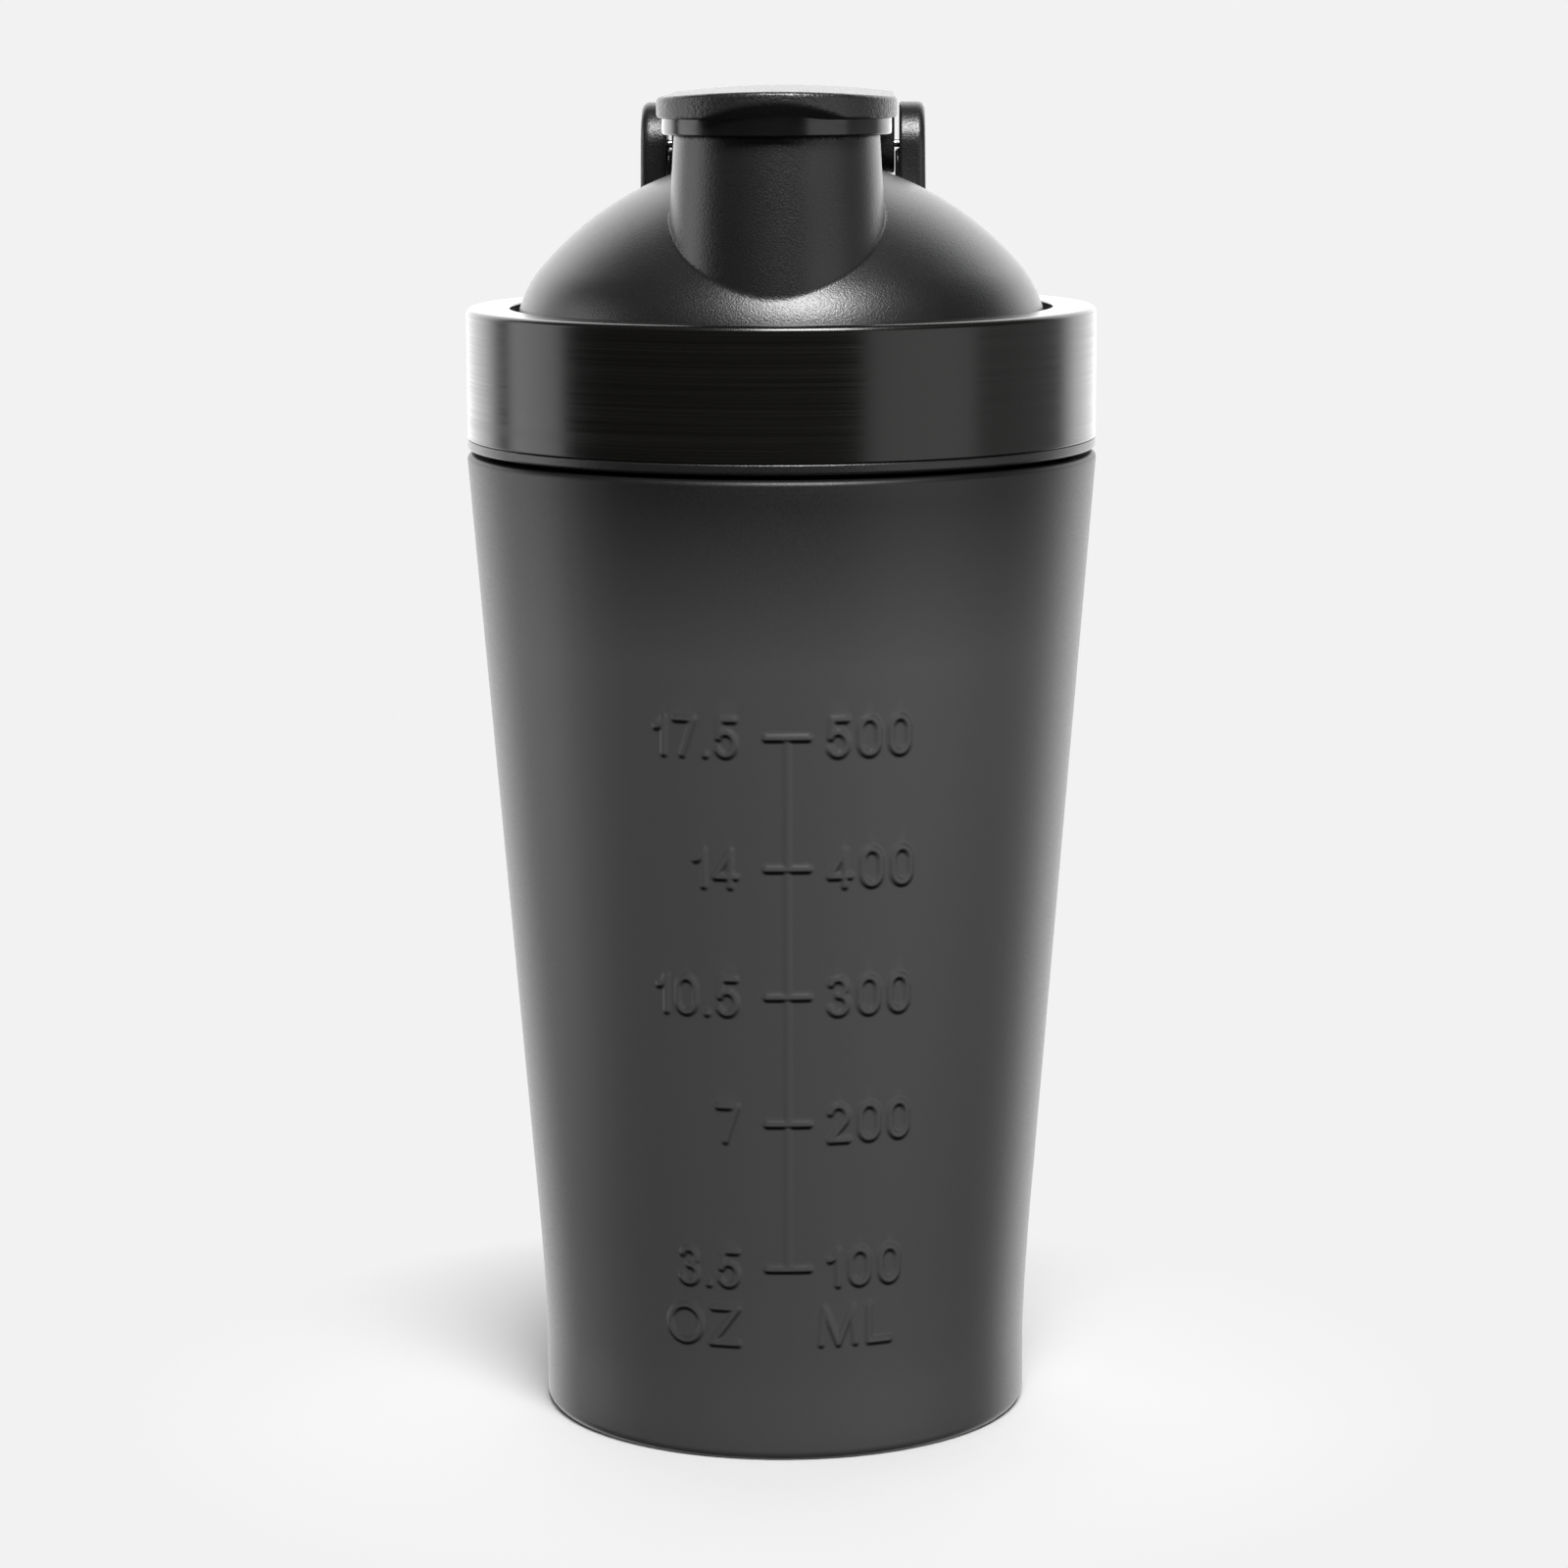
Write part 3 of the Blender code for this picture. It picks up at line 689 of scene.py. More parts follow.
def cup_outer_line():
    """The cup's outer side as three lines: neck and shoulder, wall, and base, from the rim down."""
    line = [(NECK_RADIUS, NECK_TOP - RIM_ROUNDING)]
    line += [(NECK_RADIUS, NECK_TOP - 2.0), (NECK_RADIUS, SHOULDER_HEIGHT + 4.0)]
    line += arc((NECK_RADIUS + 1.0, SHOULDER_HEIGHT + 1.0), 1.0, 180, 270, 6)
    corner = (CUP_TOP_RADIUS - SHOULDER_ROUNDING, SHOULDER_HEIGHT - SHOULDER_ROUNDING)
    line += arc(corner, SHOULDER_ROUNDING, 90, 0, 10)[:-1]
    wall = [(cone_radius(z), z) for z in wall_heights()]
    base = arc((FOOT_RADIUS - BASE_ROUNDING, BASE_ROUNDING), BASE_ROUNDING, 0, -90, 8)[1:]
    recess = [
        (BASE_RECESS_RADIUS + 0.3, 0.0),
        (BASE_RECESS_RADIUS - 0.2, 0.1),
        (BASE_RECESS_RADIUS - 1.9, BASE_RECESS_DEPTH - 0.1),
        (BASE_RECESS_RADIUS - 2.5, BASE_RECESS_DEPTH),
        (20.0, BASE_RECESS_DEPTH),
        (0.0, BASE_RECESS_DEPTH),
    ]
    return line, wall, base + recess


def cup_inner_line():
    """The cup's inner side, from the middle of its floor up to the rim."""
    floor = BASE_RECESS_DEPTH + WALL
    heights = np.linspace(floor + BASE_ROUNDING + 1.4, SHOULDER_HEIGHT - 3.0, 26)
    line = [(0.0, floor), (20.0, floor), (BASE_RECESS_RADIUS - 1.0, floor)]
    line += arc((FOOT_RADIUS - WALL - 3.0, floor + 3.0), 3.0, -90, 0, 6)
    line += [(cone_radius(z) - WALL, z) for z in heights]
    line += arc((CUP_TOP_RADIUS - 2.4, SHOULDER_HEIGHT - 2.4), 1.8, 0, 90, 6)
    line += arc((NECK_RADIUS + 0.4, SHOULDER_HEIGHT + 0.4), 1.0, 270, 180, 5)
    line += [(NECK_RADIUS - WALL, SHOULDER_HEIGHT + 4.0), (NECK_RADIUS - WALL, NECK_TOP - 2.0)]
    rim = arc((NECK_RADIUS - WALL / 2.0, NECK_TOP - WALL / 2.0), WALL / 2.0, 180, 0, 6)
    return line + rim[:-1]


def is_bare(middle):
    """True on the neck and inside the cup, where the steel has no coat. middle is a face's centre in mm."""
    if middle.z > SHOULDER_HEIGHT + 0.5:
        return True
    if not BASE_RECESS_DEPTH + 0.1 < middle.z < SHOULDER_HEIGHT - 0.3:
        return False
    return math.hypot(middle.x, middle.y) < cone_radius(middle.z) - WALL / 2.0


def make_cup():
    neck, wall, base = cup_outer_line()
    inner = cup_inner_line()
    outline = np.array(inner + neck + wall + base)
    angles = wall_angles()
    raised = np.zeros((len(outline), len(angles)))
    first = len(inner) + len(neck)
    on_wall = slice(first, first + len(wall))
    radii = outline[on_wall, 0][:, None]
    heights = np.repeat(outline[on_wall, 1][:, None], len(angles), axis=1)
    turn = np.mod(angles - SCALE_ANGLE + math.pi, 2.0 * math.pi) - math.pi
    raised[on_wall] = relief(radii * turn, heights)
    shape = bmesh.new()
    spin(shape, outline, angles, False, raised=raised)
    add_thread(shape, NECK_RADIUS - 0.2, NECK_THREAD_CREST, NECK_THREAD_START)
    bmesh.ops.recalc_face_normals(shape, faces=shape.faces)
    cup = link("cup", shape, "cup", ["cup_body"])
    cup.data.materials.append(coated_steel())
    cup.data.materials.append(bare_steel())
    for face in cup.data.polygons:
        face.material_index = int(is_bare(face.center / MM))


# Lid


def make_ring():
    """A drawn sheet-steel ring, turned in at the top."""
    under = RING_TOP - RING_SHEET
    inner_wall = RING_RADIUS - RING_SHEET
    outline = rounded(
        [
            (RING_HOLE_RADIUS, RING_TOP, 0.25),
            (RING_RADIUS, RING_TOP, RING_CORNER),
            (RING_RADIUS, RING_BOTTOM, 0.28),
            (inner_wall, RING_BOTTOM, 0.2),
            (inner_wall, under, 0.3),
            (RING_HOLE_RADIUS, under, 0.25),
        ],
        steps=8,
    )
    ring = turned("steel_ring", outline, "lid", ["lid_ring"])
    ring.data.materials.append(ring_steel())


def dome_distance(x, y, z):
    """Distance from the dome's outer face: a sphere whose edge turns down in a tighter curve."""
    out = np.hypot(x, y)
    reach = DOME_RADIUS - DOME_EDGE_RADIUS
    edge_r = reach * math.cos(DOME_EDGE_ANGLE)
    edge_z = DOME_CENTRE_HEIGHT + reach * math.sin(DOME_EDGE_ANGLE)
    crown = np.hypot(out, z - DOME_CENTRE_HEIGHT) - DOME_RADIUS
    edge = np.hypot(out - edge_r, z - edge_z) - DOME_EDGE_RADIUS
    side = out - edge_r - DOME_EDGE_RADIUS
    on_crown = (z - edge_z) * math.cos(DOME_EDGE_ANGLE) > (out - edge_r) * math.sin(DOME_EDGE_ANGLE)
    return np.where(on_crown, crown, np.where(z > edge_z, edge, side))


def upright_lug(y, z, radius):
    """Distance from a lug seen from the side: round about the pin's line, with straight sides below."""
    return np.where(z > PIN_Z, np.hypot(y - PIN_Y, z - PIN_Z), np.abs(y - PIN_Y)) - radius


def pin_hole_distance(y, z):
    return np.hypot(y - PIN_Y, z - PIN_Z) - PIN_RADIUS - PIN_CLEARANCE


def ear_distance(x, y, z):
    """Distance from the two ears: a lug each, with a low step on its inner face."""
    side = np.abs(x)
    lean = EAR_DRAFT * (LID_HIGH[2] - z) / (LID_HIGH[2] - EAR_ROOT)
    lug = cut_round(upright_lug(y, z, EAR_RADIUS), side - EAR_OUTER_X - lean, EAR_EDGE)
    lug = cut_round(lug, EAR_INNER_X - side, EAR_INNER_EDGE)
    step_sides = np.abs(y - PIN_Y) - EAR_RADIUS + EAR_STEP_INSET
    step = cut_round(step_sides, z - EAR_STEP_TOP, EAR_STEP_CORNER)
    step = cut_round(step, EAR_STEP_X - side, EAR_STEP_EDGE)
    step = np.maximum(step, side - EAR_INNER_X - 1.0)
    both = np.maximum(np.minimum(lug, step), EAR_ROOT - z)
    return cut_round(both, -pin_hole_distance(y, z), 0.2)


def lid_distance(x, y, z):
    """Distance from dome, spout and ears, hollow inside and with the spout's bore open."""
    dome = dome_distance(x, y, z)
    from_axis = np.hypot(x, y - SPOUT_Y)
    share = (z - SPOUT_ROOT) / (SPOUT_TOP - SPOUT_ROOT)
    spout_radius = SPOUT_ROOT_RADIUS + (SPOUT_TOP_RADIUS - SPOUT_ROOT_RADIUS) * share
    spout = cut_round(from_axis - spout_radius, z - SPOUT_TOP, SPOUT_RIM_ROUNDING)
    solid = join_round(dome, spout, SPOUT_FILLET)
    solid = join_round(solid, ear_distance(x, y, z), EAR_FILLET)
    solid = np.maximum(solid, -dome - DOME_WALL)
    solid = cut_round(solid, BORE_RADIUS - from_axis, SPOUT_RIM_ROUNDING)
    return np.maximum(solid, GROOVE_FLOOR - 0.8 - z)


def lid_skirt():
    """The turned part of the lid under the dome: groove, seat, skirt, trim lip, channel and collar."""
    seat = RING_TOP - RING_SHEET
    lip_top = RING_BOTTOM
    outline = rounded(
        [
            (COLLAR_INNER_RADIUS + 1.0, GROOVE_FLOOR, 0.0),
            (GROOVE_RADIUS, GROOVE_FLOOR, 0.3),
            (GROOVE_RADIUS, seat, 0.3),
            (SKIRT_OUTER_RADIUS, seat, 0.4),
            (SKIRT_OUTER_RADIUS, lip_top, 0.2),
            (LIP_RADIUS, lip_top, 0.25),
            (LIP_RADIUS, LIP_BOTTOM, 0.5),
            (SKIRT_INNER_RADIUS, LIP_BOTTOM, 0.5),
            (SKIRT_INNER_RADIUS, CHANNEL_CEILING, 0.5),
            (COLLAR_OUTER_RADIUS, CHANNEL_CEILING, 0.4),
            (COLLAR_OUTER_RADIUS, COLLAR_BOTTOM, 0.4),
            (COLLAR_INNER_RADIUS, COLLAR_BOTTOM, 0.4),
            (COLLAR_INNER_RADIUS, GROOVE_FLOOR, 0.0),
        ]
    )
    shape = bmesh.new()
    spin(shape, outline, even_angles(192), True)
    thread_start = NECK_THREAD_START - THREAD_LEAD / 2.0
    add_thread(shape, SKIRT_INNER_RADIUS + 0.3, LID_THREAD_CREST, thread_start)
    return shape


def make_lid():
    low = (-LID_FIELD_REACH, -LID_FIELD_REACH, GROOVE_FLOOR - 2.0)
    high = (LID_FIELD_REACH, LID_FIELD_REACH, LID_HIGH[2] + 1.0)
    skirt = lid_skirt()
    lid = net_piece("lid", lid_distance, low, high, LID_CELL, "lid", ["lid_shell"], skirt)
    lid.data.materials.append(lid_plastic())


def make_pin():
    shape = bmesh.new()
    half = PIN_HIGH[0]
    outline = [
        (0.0, half),
        (PIN_RADIUS - PIN_CHAMFER, half),
        (PIN_RADIUS, half - PIN_CHAMFER),
        (PIN_RADIUS, 0.0),
        (PIN_RADIUS, PIN_CHAMFER - half),
        (PIN_RADIUS - PIN_CHAMFER, -half),
        (0.0, -half),
    ]
    spin(shape, outline, even_angles(48), False)
    turn = Matrix.Rotation(math.pi / 2.0, 4, "Y")
    bmesh.ops.transform(shape, matrix=turn, verts=shape.verts)
    bmesh.ops.translate(shape, vec=(0.0, PIN_Y, PIN_Z), verts=shape.verts)
    bmesh.ops.recalc_face_normals(shape, faces=shape.faces)
    pin = flat_faces_stay_flat(link("pin", shape, "lid", ["hinge_pin"]))
    pin.data.materials.append(pin_steel())


def make_gasket():
    """A flat ring with a groove round its underside."""
    inner, outer = COLLAR_OUTER_RADIUS + 1.4, GASKET_HIGH[0]
    bottom, top = GASKET_LOW[2], GASKET_HIGH[2]
    middle = (inner + outer) / 2.0
    outline = rounded(
        [
            (inner, top, 0.3),
            (outer, top, 0.4),
            (outer, bottom, 0.4),
            (middle + 0.5, bottom, 0.15),
            (middle, bottom + 0.35, 0.3),
            (middle - 0.5, bottom, 0.15),
            (inner, bottom, 0.3),
        ]
    )
    gasket = turned("gasket", outline, "gasket", ["lid_gasket"])
    gasket.data.materials.append(gasket_silicone())


def make_seal():
    """The band that shows over the spout, with a hollow plug in the spout's bore."""
    spout_seat = SPOUT_TOP_RADIUS + 0.3
    seat_top = SPOUT_TOP + 0.1
    outline = rounded(
        [
            (SEAL_RADIUS - 2.0, SEAL_HIDDEN_TOP, 0.0),
            (SEAL_RADIUS, SEAL_HIDDEN_TOP, 0.1),
            (SEAL_RADIUS, SEAL_BAND_BOTTOM, 0.3),
            (spout_seat, SEAL_BAND_BOTTOM, 0.2),
            (spout_seat, seat_top, 0.1),
            (PLUG_RADIUS, seat_top, 0.1),
            (PLUG_RADIUS, PLUG_BOTTOM, 0.7),
            (PLUG_RADIUS - PLUG_WALL, PLUG_BOTTOM, 0.5),
            (PLUG_RADIUS - PLUG_WALL, PLUG_CEILING, 0.8),
        ]
    )
    outline = [(0.0, SEAL_HIDDEN_TOP)] + outline + [(0.0, PLUG_CEILING)]
    seal = turned("seal", outline, "cap", ["spout_seal"], SPOUT_Y, closed=False)
    seal.data.materials.append(seal_rubber())


# Flip cap


def cap_plan(x, y):
    """Distance from the cap's edge seen from above: a half ellipse in front, nearly straight sides."""
    along = y - SPOUT_Y
    stretched = np.hypot(x / CAP_HALF_WIDTH, along / CAP_FRONT_REACH)
    steepness = np.hypot(x / CAP_HALF_WIDTH**2, along / CAP_FRONT_REACH**2)
    front = (stretched - 1.0) * stretched / np.maximum(steepness, 1e-6)
    front = np.maximum(front, -CAP_HALF_WIDTH)
    share = np.clip(along / (PIN_Y - EAR_RADIUS - 1.0 - SPOUT_Y), 0.0, 1.0)
    half_width = CAP_HALF_WIDTH + (CAP_REAR_HALF_WIDTH - CAP_HALF_WIDTH) * share
    return np.where(along < 0.0, front, np.abs(x) - half_width)


def thumb_arch(x, z, depth):
    """Distance from the scoop under the cap's front edge, which runs out as it goes in."""
    half = THUMB_ARCH_WIDTH / 2.0
    radius = (half**2 + THUMB_ARCH_HEIGHT**2) / (2.0 * THUMB_ARCH_HEIGHT)
    centre = CAP_BOTTOM + THUMB_ARCH_HEIGHT - radius
    arch = np.hypot(x, z + THUMB_ARCH_SLOPE * np.maximum(depth, 0.0) - centre) - radius
    return arch / math.hypot(1.0, THUMB_ARCH_SLOPE)


def cap_distance(x, y, z):
    """Distance from the cap: a crowned plate, a hub between the ears and the thumb's scoop in front."""
    plan = cap_plan(x, y)
    ahead = np.clip((SPOUT_Y - y) / CAP_FRONT_REACH, 0.0, 1.5)
    top = CAP_TOP - CAP_FRONT_DROP * ahead**2 - CAP_SIDE_DROP * (x / CAP_HALF_WIDTH) ** 2
    over = cut_round(z - top, y - PIN_Y - HUB_RADIUS, CAP_REAR_ROUNDING)
    hub = upright_lug(y, 2.0 * PIN_Z - z, HUB_RADIUS)
    under = join_round(CAP_BOTTOM - z, hub, HUB_FILLET)
    body = cut_round(cut_round(plan, over, CAP_TOP_EDGE), under, CAP_BOTTOM_EDGE)
    scoop = np.where(y < SPOUT_Y, thumb_arch(x, z, -plan), 1.0)
    body = cut_round(body, -scoop, THUMB_ARCH_EDGE)
    return np.maximum(body, -pin_hole_distance(y, z))


def make_flip_cap():
    low = CAP_LOW - 1.3
    high = CAP_HIGH + 1.3
    cap = net_piece("cap", cap_distance, low, high, CAP_CELL, "cap", ["flip_cap"])
    cap.data.materials.append(cap_plastic())


# Inside


def grid_distance(x, y, z):
    """A shallow dish with two rows of rounded slots through its floor."""
    out = np.hypot(x, y)
    half_height = (GRID_TOP - GRID_BOTTOM) / 2.0
    height = np.abs(z - (GRID_TOP + GRID_BOTTOM) / 2.0) - half_height
    dish = cut_round(out - GRID_RADIUS, height, GRID_RIM_EDGE)
    floor = GRID_BOTTOM + GRID_FLOOR
    hollow = cut_round(out - GRID_RADIUS + GRID_RIM_WALL, floor - z, GRID_DISH_CORNER)
    dish = cut_round(dish, -hollow, GRID_SLOT_EDGE)
    angle = np.arctan2(y, x)
    for inner, outer, count in GRID_SLOT_ROWS:
        sector = 2.0 * math.pi / count
        turn = np.mod(angle, sector) - sector / 2.0
        across = np.abs(turn) * out - (sector * out - GRID_RIB) / 2.0
        along = np.abs(out - (inner + outer) / 2.0) - (outer - inner) / 2.0
        dish = cut_round(dish, -cut_round(along, across, GRID_SLOT_CORNER), GRID_SLOT_EDGE)
    return dish


def make_grid():
    margin = 1.2
    low = (-GRID_RADIUS - margin, -GRID_RADIUS - margin, GRID_BOTTOM - margin)
    high = (GRID_RADIUS + margin, GRID_RADIUS + margin, GRID_TOP + margin)
    grid = net_piece("grid", grid_distance, low, high, GRID_CELL, "grid", ["mixing_grid"])
    grid.data.materials.append(grid_plastic())


def make_ball():
    """A wire wound from pole to pole round a sphere, with rounded ends."""
    radius = BALL_HIGH[0] - BALL_WIRE_RADIUS
    steps = BALL_TURNS * BALL_STEPS_PER_TURN
    curve = bpy.data.curves.new("ball", "CURVE")
    curve.dimensions = "3D"
    curve.bevel_depth = BALL_WIRE_RADIUS * MM
    curve.bevel_resolution = 4
    curve.use_fill_caps = True
    line = curve.splines.new("POLY")
    line.points.add(steps)
    for i, point in enumerate(line.points):
        share = i / steps
        tilt = math.radians(BALL_POLE_ANGLE + (180.0 - 2.0 * BALL_POLE_ANGLE) * share)
        turn = 2.0 * math.pi * BALL_TURNS * share
        out = radius * math.sin(tilt)
        height = BALL_CENTRE[2] - radius * math.cos(tilt)
        place = Vector((out * math.cos(turn), out * math.sin(turn), height))
        point.co = (*(place * MM), 1.0)
        point.radius = min(1.0, 0.4 + 0.3 * min(i, steps - i))
    winding = new_object("winding", curve)
    shown = bpy.context.evaluated_depsgraph_get()
    mesh = bpy.data.meshes.new_from_object(winding.evaluated_get(shown))
    bpy.data.objects.remove(winding)
    mesh.shade_smooth()
    ball = add("ball", mesh, "ball", ["whisk_ball"])
    ball.data.materials.clear()
    ball.data.materials.append(wire_steel())


# Materials


def new_material(name, metallic=0.0):
    made = bpy.data.materials.new(name)
    made.use_nodes = True
    shader = made.node_tree.nodes["Principled BSDF"]
    shader.inputs["Metallic"].default_value = metallic
    return made, made.node_tree, shader


def components(tree, output):
    """X, Y and Z of a texture coordinate: Object is a place and Normal a direction, in object space."""
    coordinate = tree.nodes.new("ShaderNodeTexCoord")
    split = tree.nodes.new("ShaderNodeSeparateXYZ")
    tree.links.new(coordinate.outputs[output], split.inputs["Vector"])
    return split.outputs


def combine(tree, operation, first, second):
    made = tree.nodes.new("ShaderNodeMath")
    made.operation = operation
    tree.links.new(first, made.inputs[0])
    tree.links.new(second, made.inputs[1])
    return made.outputs["Value"]


def noise(tree, scale, stretch=(1.0, 1.0, 1.0), detail=2.0, roughness=0.5):
    """Noise in object space. scale is how many features fit in a metre along an unstretched axis."""
    place = tree.nodes.new("ShaderNodeTexCoord")
    mapping = tree.nodes.new("ShaderNodeMapping")
    mapping.inputs["Scale"].default_value = [scale * s for s in stretch]
    made = tree.nodes.new("ShaderNodeTexNoise")
    made.inputs["Scale"].default_value = 1.0
    made.inputs["Detail"].default_value = detail
    made.inputs["Roughness"].default_value = roughness
    tree.links.new(place.outputs["Object"], mapping.inputs["Vector"])
    tree.links.new(mapping.outputs["Vector"], made.inputs["Vector"])
    return made.outputs["Fac"]


def ramp(tree, source, low, high, from_low=0.3, from_high=0.7, interpolation="LINEAR"):
    """Maps a value from one range to another. The usual range to map from suits noise."""
    made = tree.nodes.new("ShaderNodeMapRange")
    made.interpolation_type = interpolation
    made.inputs["From Min"].default_value = from_low
    made.inputs["From Max"].default_value = from_high
    made.inputs["To Min"].default_value = low
    made.inputs["To Max"].default_value = high
    tree.links.new(source, made.inputs["Value"])
    return made.outputs["Result"]


def rough(tree, shader, source, low, high):
    """Varies the shader's roughness by a noise."""
    tree.links.new(ramp(tree, source, low, high), shader.inputs["Roughness"])


def tint(tree, shader, source, dark, light):
    """Colours the shader between two colours by a value."""
    made = tree.nodes.new("ShaderNodeMix")
    made.data_type = "RGBA"
    made.inputs["A"].default_value = (*dark, 1.0)
    made.inputs["B"].default_value = (*light, 1.0)
    tree.links.new(source, made.inputs["Factor"])
    tree.links.new(made.outputs["Result"], shader.inputs["Base Color"])


def bump(tree, shader, layers):
    """Bumps the shader's normal. Each layer is (height source, height in millimetres)."""
    normal = None
    for source, height in layers:
        made = tree.nodes.new("ShaderNodeBump")
        made.inputs["Strength"].default_value = 1.0
        made.inputs["Distance"].default_value = height * MM
        tree.links.new(source, made.inputs["Height"])
        if normal is not None:
            tree.links.new(normal, made.inputs["Normal"])
        normal = made.outputs["Normal"]
    tree.links.new(normal, shader.inputs["Normal"])


def painted_coat_shade(tree):
    """Painted shade by facing: 1 on the upright wall, less on the marks' upper sides and 0 on their
    undersides.
    """
    facing = components(tree, "Normal")["Z"]
    foot = ramp(tree, components(tree, "Object")["Z"], 1.0, 0.0, *COAT_FOOT)
    not_under = combine(tree, "MAXIMUM", ramp(tree, facing, 0.0, 1.0, *UNDERSIDE_PAINTED_SHADE), foot)
    not_above = ramp(tree, facing, 1.0, TOPSIDE_PAINTED_SHADE_LEVEL, *TOPSIDE_PAINTED_SHADE)
    return combine(tree, "MULTIPLY", not_under, not_above)


def coated_steel():
    """Satin powder coat: a soft orange-peel surface with faint turning marks under it.

    Painted shade darkens its colour on the marks' undersides, on faces turned up and in a band under the
    shoulder, and it lowers the specular level on faces turned down or up.
    """
    made, tree, shader = new_material("coated_steel")
    shade = painted_coat_shade(tree)
    # painted shade band: the colour darkens with height towards the shoulder
    below_shoulder_shade = ramp(tree, components(tree, "Object")["Z"], 1.0, 0.0, *SHOULDER_PAINTED_SHADE_BAND)
    # painted shade: the colour darkens where the surface faces down or up and in the band under the
    # shoulder
    tint(tree, shader, combine(tree, "MULTIPLY", shade, below_shoulder_shade), COAT_PAINTED_SHADE, COAT_LIGHT)
    # the painted shade on faces turned down or up lowers the specular level as well
    tree.links.new(ramp(tree, shade, 0.12, 0.5, 0.0, 1.0), shader.inputs["Specular IOR Level"])
    rough(tree, shader, noise(tree, 2600.0), 0.41, 0.48)
    peel = noise(tree, 1500.0, detail=1.5)
    turning = noise(tree, 1.0, stretch=(25.0, 25.0, 2400.0))
    bump(tree, shader, [(peel, 0.006), (turning, 0.0025)])
    return made


def ring_steel():
    """Gloss black over lathe-brushed steel: fine streaks that run round the ring."""
    made, tree, shader = new_material("ring_steel")
    streaks = noise(tree, 1.0, stretch=(14.0, 14.0, 5200.0), detail=3.0, roughness=0.6)
    tint(tree, shader, ramp(tree, streaks, 0.0, 1.0), (0.0015, 0.0014, 0.0012), (0.004, 0.0038, 0.0034))
    rough(tree, shader, streaks, 0.19, 0.27)
    shader.inputs["Specular IOR Level"].default_value = 0.44
    broad = noise(tree, 1.0, stretch=(9.0, 9.0, 900.0))
    bump(tree, shader, [(streaks, 0.0016), (broad, 0.002)])
    return made


def lid_plastic():
    """Matte plastic from a finely textured mould."""
    made, tree, shader = new_material("lid_plastic")
    patches = ramp(tree, noise(tree, 90.0), 0.0, 1.0)
    tint(tree, shader, patches, (0.0045, 0.0045, 0.0046), (0.006, 0.006, 0.0061))
    grain = noise(tree, 3600.0, detail=1.5, roughness=0.6)
    rough(tree, shader, grain, 0.31, 0.38)
    bump(tree, shader, [(grain, 0.045)])
    return made


def cap_plastic():
    """The same plastic from a mould with a coarser grain."""
    made, tree, shader = new_material("cap_plastic")
    patches = ramp(tree, noise(tree, 110.0), 0.0, 1.0)
    tint(tree, shader, patches, (0.007, 0.007, 0.0071), (0.009, 0.009, 0.0091))
    grain = noise(tree, 1800.0, roughness=0.6)
    rough(tree, shader, grain, 0.32, 0.42)
    bump(tree, shader, [(grain, 0.12)])
    return made


def even_finish(name, colour, marks, roughness, relief, metallic=0.0):
    """One colour, with roughness and a fine relief from one noise. marks are that noise's settings."""
    made, tree, shader = new_material(name, metallic)
    shader.inputs["Base Color"].default_value = (*colour, 1.0)
    source = noise(tree, **marks)
    rough(tree, shader, source, *roughness)
    bump(tree, shader, [(source, relief)])
    return made


def seal_rubber():
    """Gloss moulded rubber, with faint smears."""
    smears = {"scale": 260.0, "stretch": (1.0, 1.0, 3.0), "detail": 3.0}
    return even_finish("seal_rubber", (0.003, 0.003, 0.003), smears, (0.14, 0.25), 0.006)


def gasket_silicone():
    return even_finish("gasket_silicone", (0.05, 0.05, 0.051), {"scale": 1800.0}, (0.42, 0.6), 0.008)


def grid_plastic():
    return even_finish("grid_plastic", (0.03, 0.03, 0.031), {"scale": 1400.0}, (0.34, 0.48), 0.006)


def wire_steel():
    """Drawn wire, nearly polished."""
    marks = {"scale": 900.0, "detail": 3.0}
    return even_finish("wire_steel", (0.65, 0.64, 0.62), marks, (0.12, 0.26), 0.004, metallic=1.0)


def pin_steel():
    """Bright steel with marks round the pin."""
    marks = {"scale": 1.0, "stretch": (5000.0, 60.0, 60.0)}
    return even_finish("pin_steel", (0.55, 0.54, 0.53), marks, (0.18, 0.34), 0.003, metallic=1.0)


def bare_steel():
    """Bare stainless steel with circular polishing marks."""
    made, tree, shader = new_material("bare_steel", metallic=1.0)
    marks = noise(tree, 1.0, stretch=(30.0, 30.0, 4200.0), detail=3.0)
    tint(tree, shader, ramp(tree, marks, 0.0, 1.0), (0.5, 0.49, 0.475), (0.66, 0.65, 0.63))
    rough(tree, shader, marks, 0.2, 0.36)
    bump(tree, shader, [(marks, 0.004)])
    return made


# Stage


def shown_and_lit(tree, seen, lighting):
    """Shows the camera one shader, and lights the scene with the other."""
    path = tree.nodes.new("ShaderNodeLightPath")
    mix = tree.nodes.new("ShaderNodeMixShader")
    tree.links.new(path.outputs["Is Camera Ray"], mix.inputs["Fac"])
    tree.links.new(lighting, mix.inputs[1])
    tree.links.new(seen, mix.inputs[2])
    return mix.outputs["Shader"]


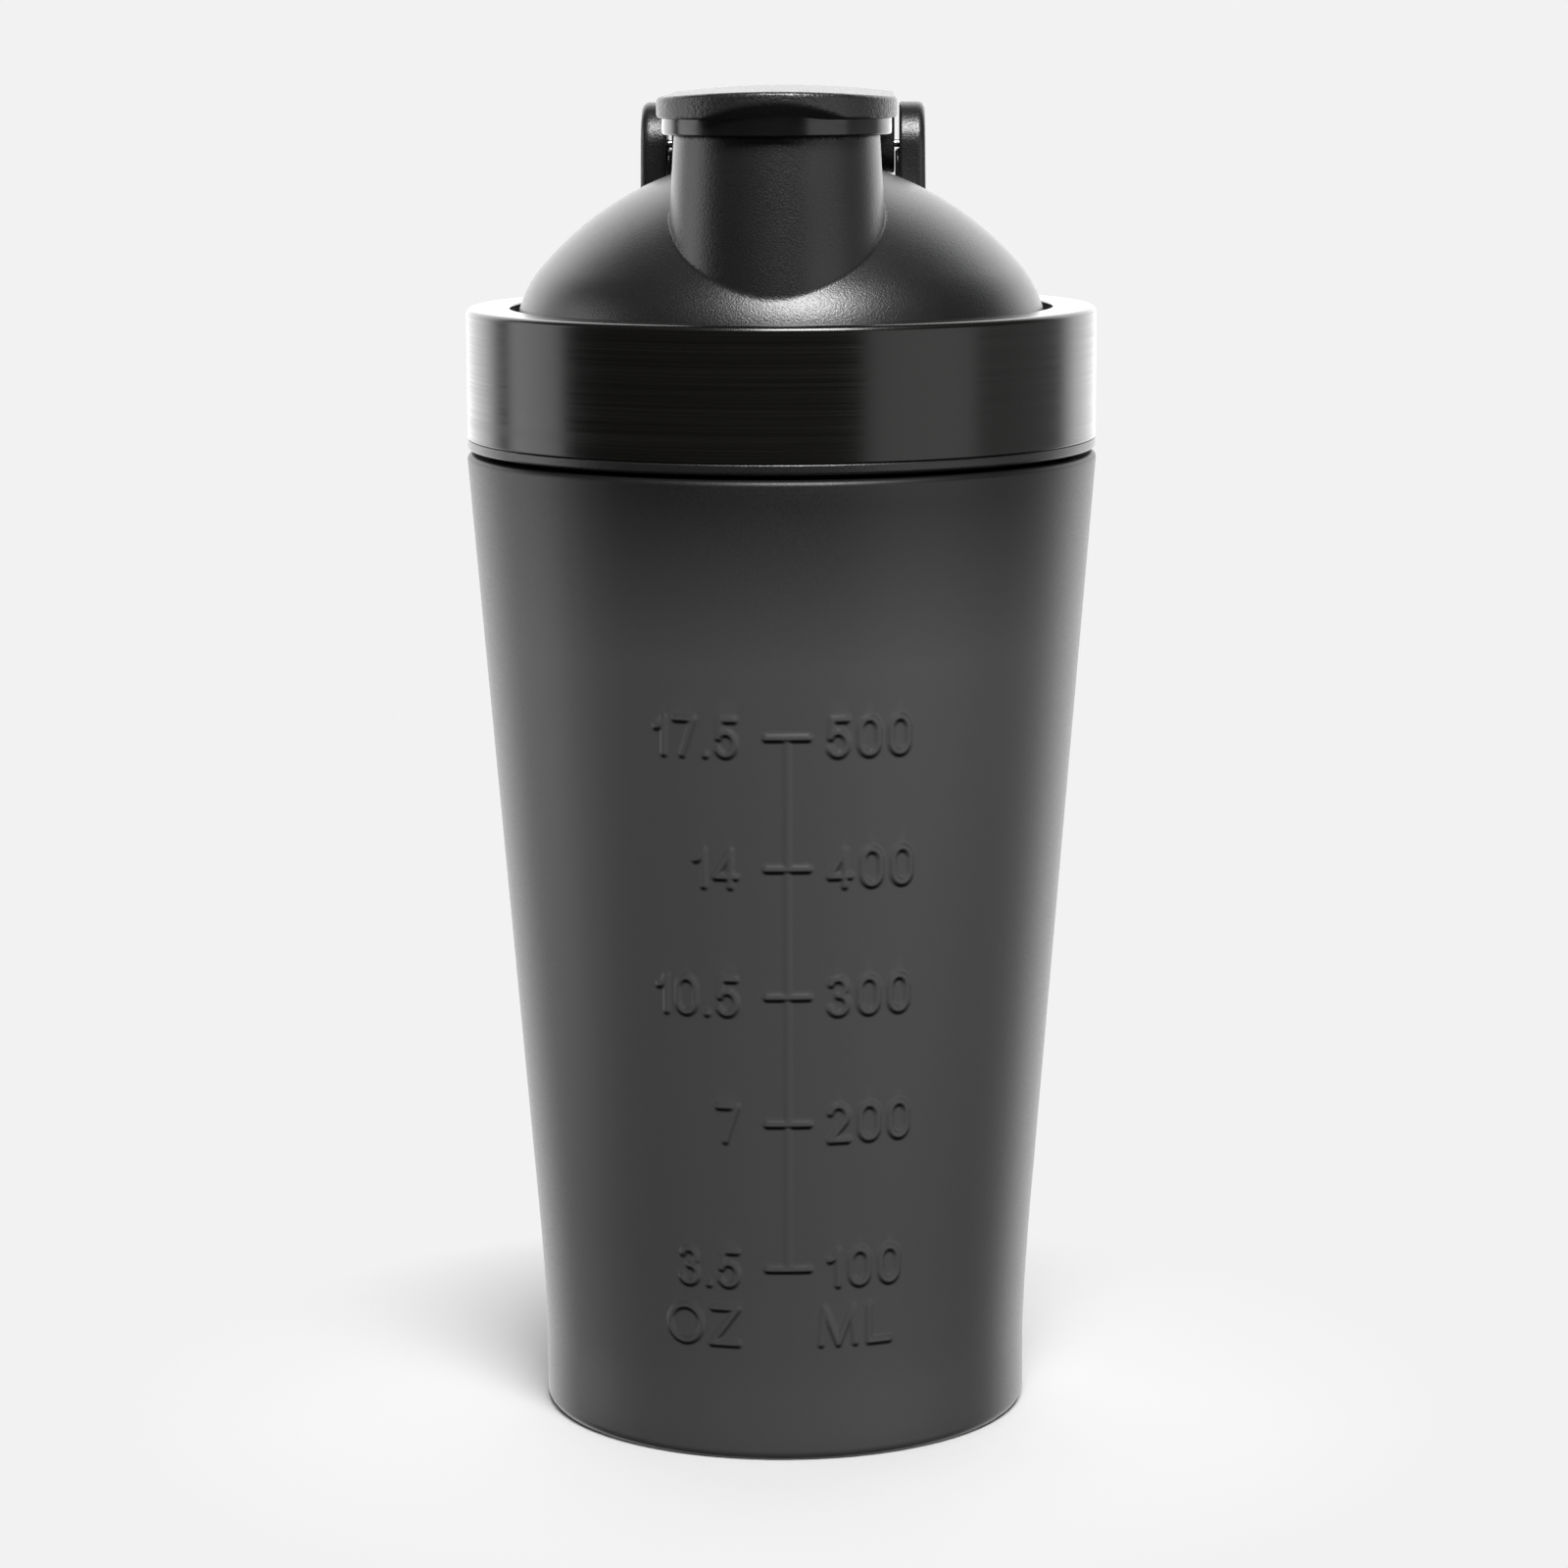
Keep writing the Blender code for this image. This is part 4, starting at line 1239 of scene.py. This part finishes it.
def floor_material():
    """White sweep: lit paper near the bottle, which turns into the plain background further out.

    As a source of light it starts a little way in front of the bottle. Reflections don't show it.
    """
    made, tree, shader = new_material("floor_paper")
    shader.inputs["Base Color"].default_value = (PAPER, PAPER, PAPER, 1.0)
    shader.inputs["Roughness"].default_value = 0.9
    bump(tree, shader, [(noise(tree, 700.0), 0.02)])
    place = tree.nodes.new("ShaderNodeTexCoord")
    length = tree.nodes.new("ShaderNodeVectorMath")
    length.operation = "LENGTH"
    tree.links.new(place.outputs["Object"], length.inputs[0])
    seen = tree.nodes.new("ShaderNodeEmission")
    seen.inputs["Strength"].default_value = BACKGROUND
    lighting = tree.nodes.new("ShaderNodeEmission")
    glow = ramp(tree, components(tree, "Object")["Y"], 0.05, BACKGROUND, *FLOOR_GLOW_REACH)
    tree.links.new(glow, lighting.inputs["Strength"])
    mix = tree.nodes.new("ShaderNodeMixShader")
    tree.links.new(ramp(tree, length.outputs["Value"], 0.0, 1.0, *PAPER_REACH), mix.inputs["Fac"])
    tree.links.new(shader.outputs["BSDF"], mix.inputs[1])
    background = shown_and_lit(tree, seen.outputs["Emission"], lighting.outputs["Emission"])
    tree.links.new(background, mix.inputs[2])
    tree.links.new(mix.outputs["Shader"], tree.nodes["Material Output"].inputs["Surface"])
    return made


def make_floor():
    shape = bmesh.new()
    bmesh.ops.create_circle(shape, cap_ends=True, segments=128, radius=FLOOR_RADIUS)
    mesh = bpy.data.meshes.new("floor")
    shape.to_mesh(mesh)
    shape.free()
    mesh.materials.append(floor_material())
    floor = new_object("floor", mesh)
    floor.visible_glossy = False


def softbox(name, azimuth, elevation, distance, width, height, radiance):
    """An area light that faces the bottle. Azimuth goes from -Y towards +X, in degrees."""
    light = bpy.data.lights.new(name, "AREA")
    light.shape = "RECTANGLE"
    light.size = width
    light.size_y = height
    light.energy = radiance * math.pi * width * height
    lamp = new_object(name, light)
    around, up = math.radians(azimuth), math.radians(elevation)
    away = Vector((math.sin(around) * math.cos(up), -math.cos(around) * math.cos(up), math.sin(up)))
    lamp.location = Vector(LIGHT_TARGET) + away * distance
    lamp.rotation_euler = away.to_track_quat("Z", "Y").to_euler()
    lamp.visible_camera = False


def make_lights():
    for box in SOFTBOXES:
        softbox(*box)


def make_world():
    """Plain white to the camera. As light it is bright behind the bottle and dim in front and below."""
    world = bpy.data.worlds.new("studio")
    bpy.context.scene.world = world
    world.use_nodes = True
    tree = world.node_tree
    seen = tree.nodes["Background"]
    seen.inputs["Color"].default_value = (BACKGROUND, BACKGROUND, BACKGROUND, 1.0)
    lighting = tree.nodes.new("ShaderNodeBackground")
    direction = components(tree, "Generated")
    behind = ramp(tree, direction["Y"], *WORLD_STRENGTH, *WORLD_BEHIND, "SMOOTHSTEP")
    not_below = ramp(tree, direction["Z"], *WORLD_BELOW_STRENGTH, *WORLD_BELOW, "SMOOTHSTEP")
    tree.links.new(combine(tree, "MULTIPLY", behind, not_below), lighting.inputs["Strength"])
    surface = shown_and_lit(tree, seen.outputs["Background"], lighting.outputs["Background"])
    tree.links.new(surface, tree.nodes["World Output"].inputs["Surface"])


def make_camera():
    data = bpy.data.cameras.new("camera")
    data.lens = CAMERA_LENS
    data.sensor_width = 36.0
    camera = new_object("camera", data)
    camera.location = (
        CAMERA_DISTANCE * math.sin(CAMERA_AZIMUTH),
        -CAMERA_DISTANCE * math.cos(CAMERA_AZIMUTH),
        CAMERA_HEIGHT,
    )
    heading = Matrix.Rotation(CAMERA_AZIMUTH + CAMERA_PAN, 4, "Z")
    tilt = Matrix.Rotation(math.pi / 2.0 - CAMERA_PITCH, 4, "X")
    roll = Matrix.Rotation(CAMERA_ROLL, 4, "Z")
    camera.rotation_euler = (heading @ tilt @ roll).to_euler()
    bpy.context.scene.camera = camera
    bpy.context.scene.view_settings.view_transform = "Standard"


make_camera()
make_world()
make_lights()
make_floor()
make_cup()
make_ring()
make_lid()
make_pin()
make_gasket()
make_seal()
make_flip_cap()
make_grid()
make_ball()
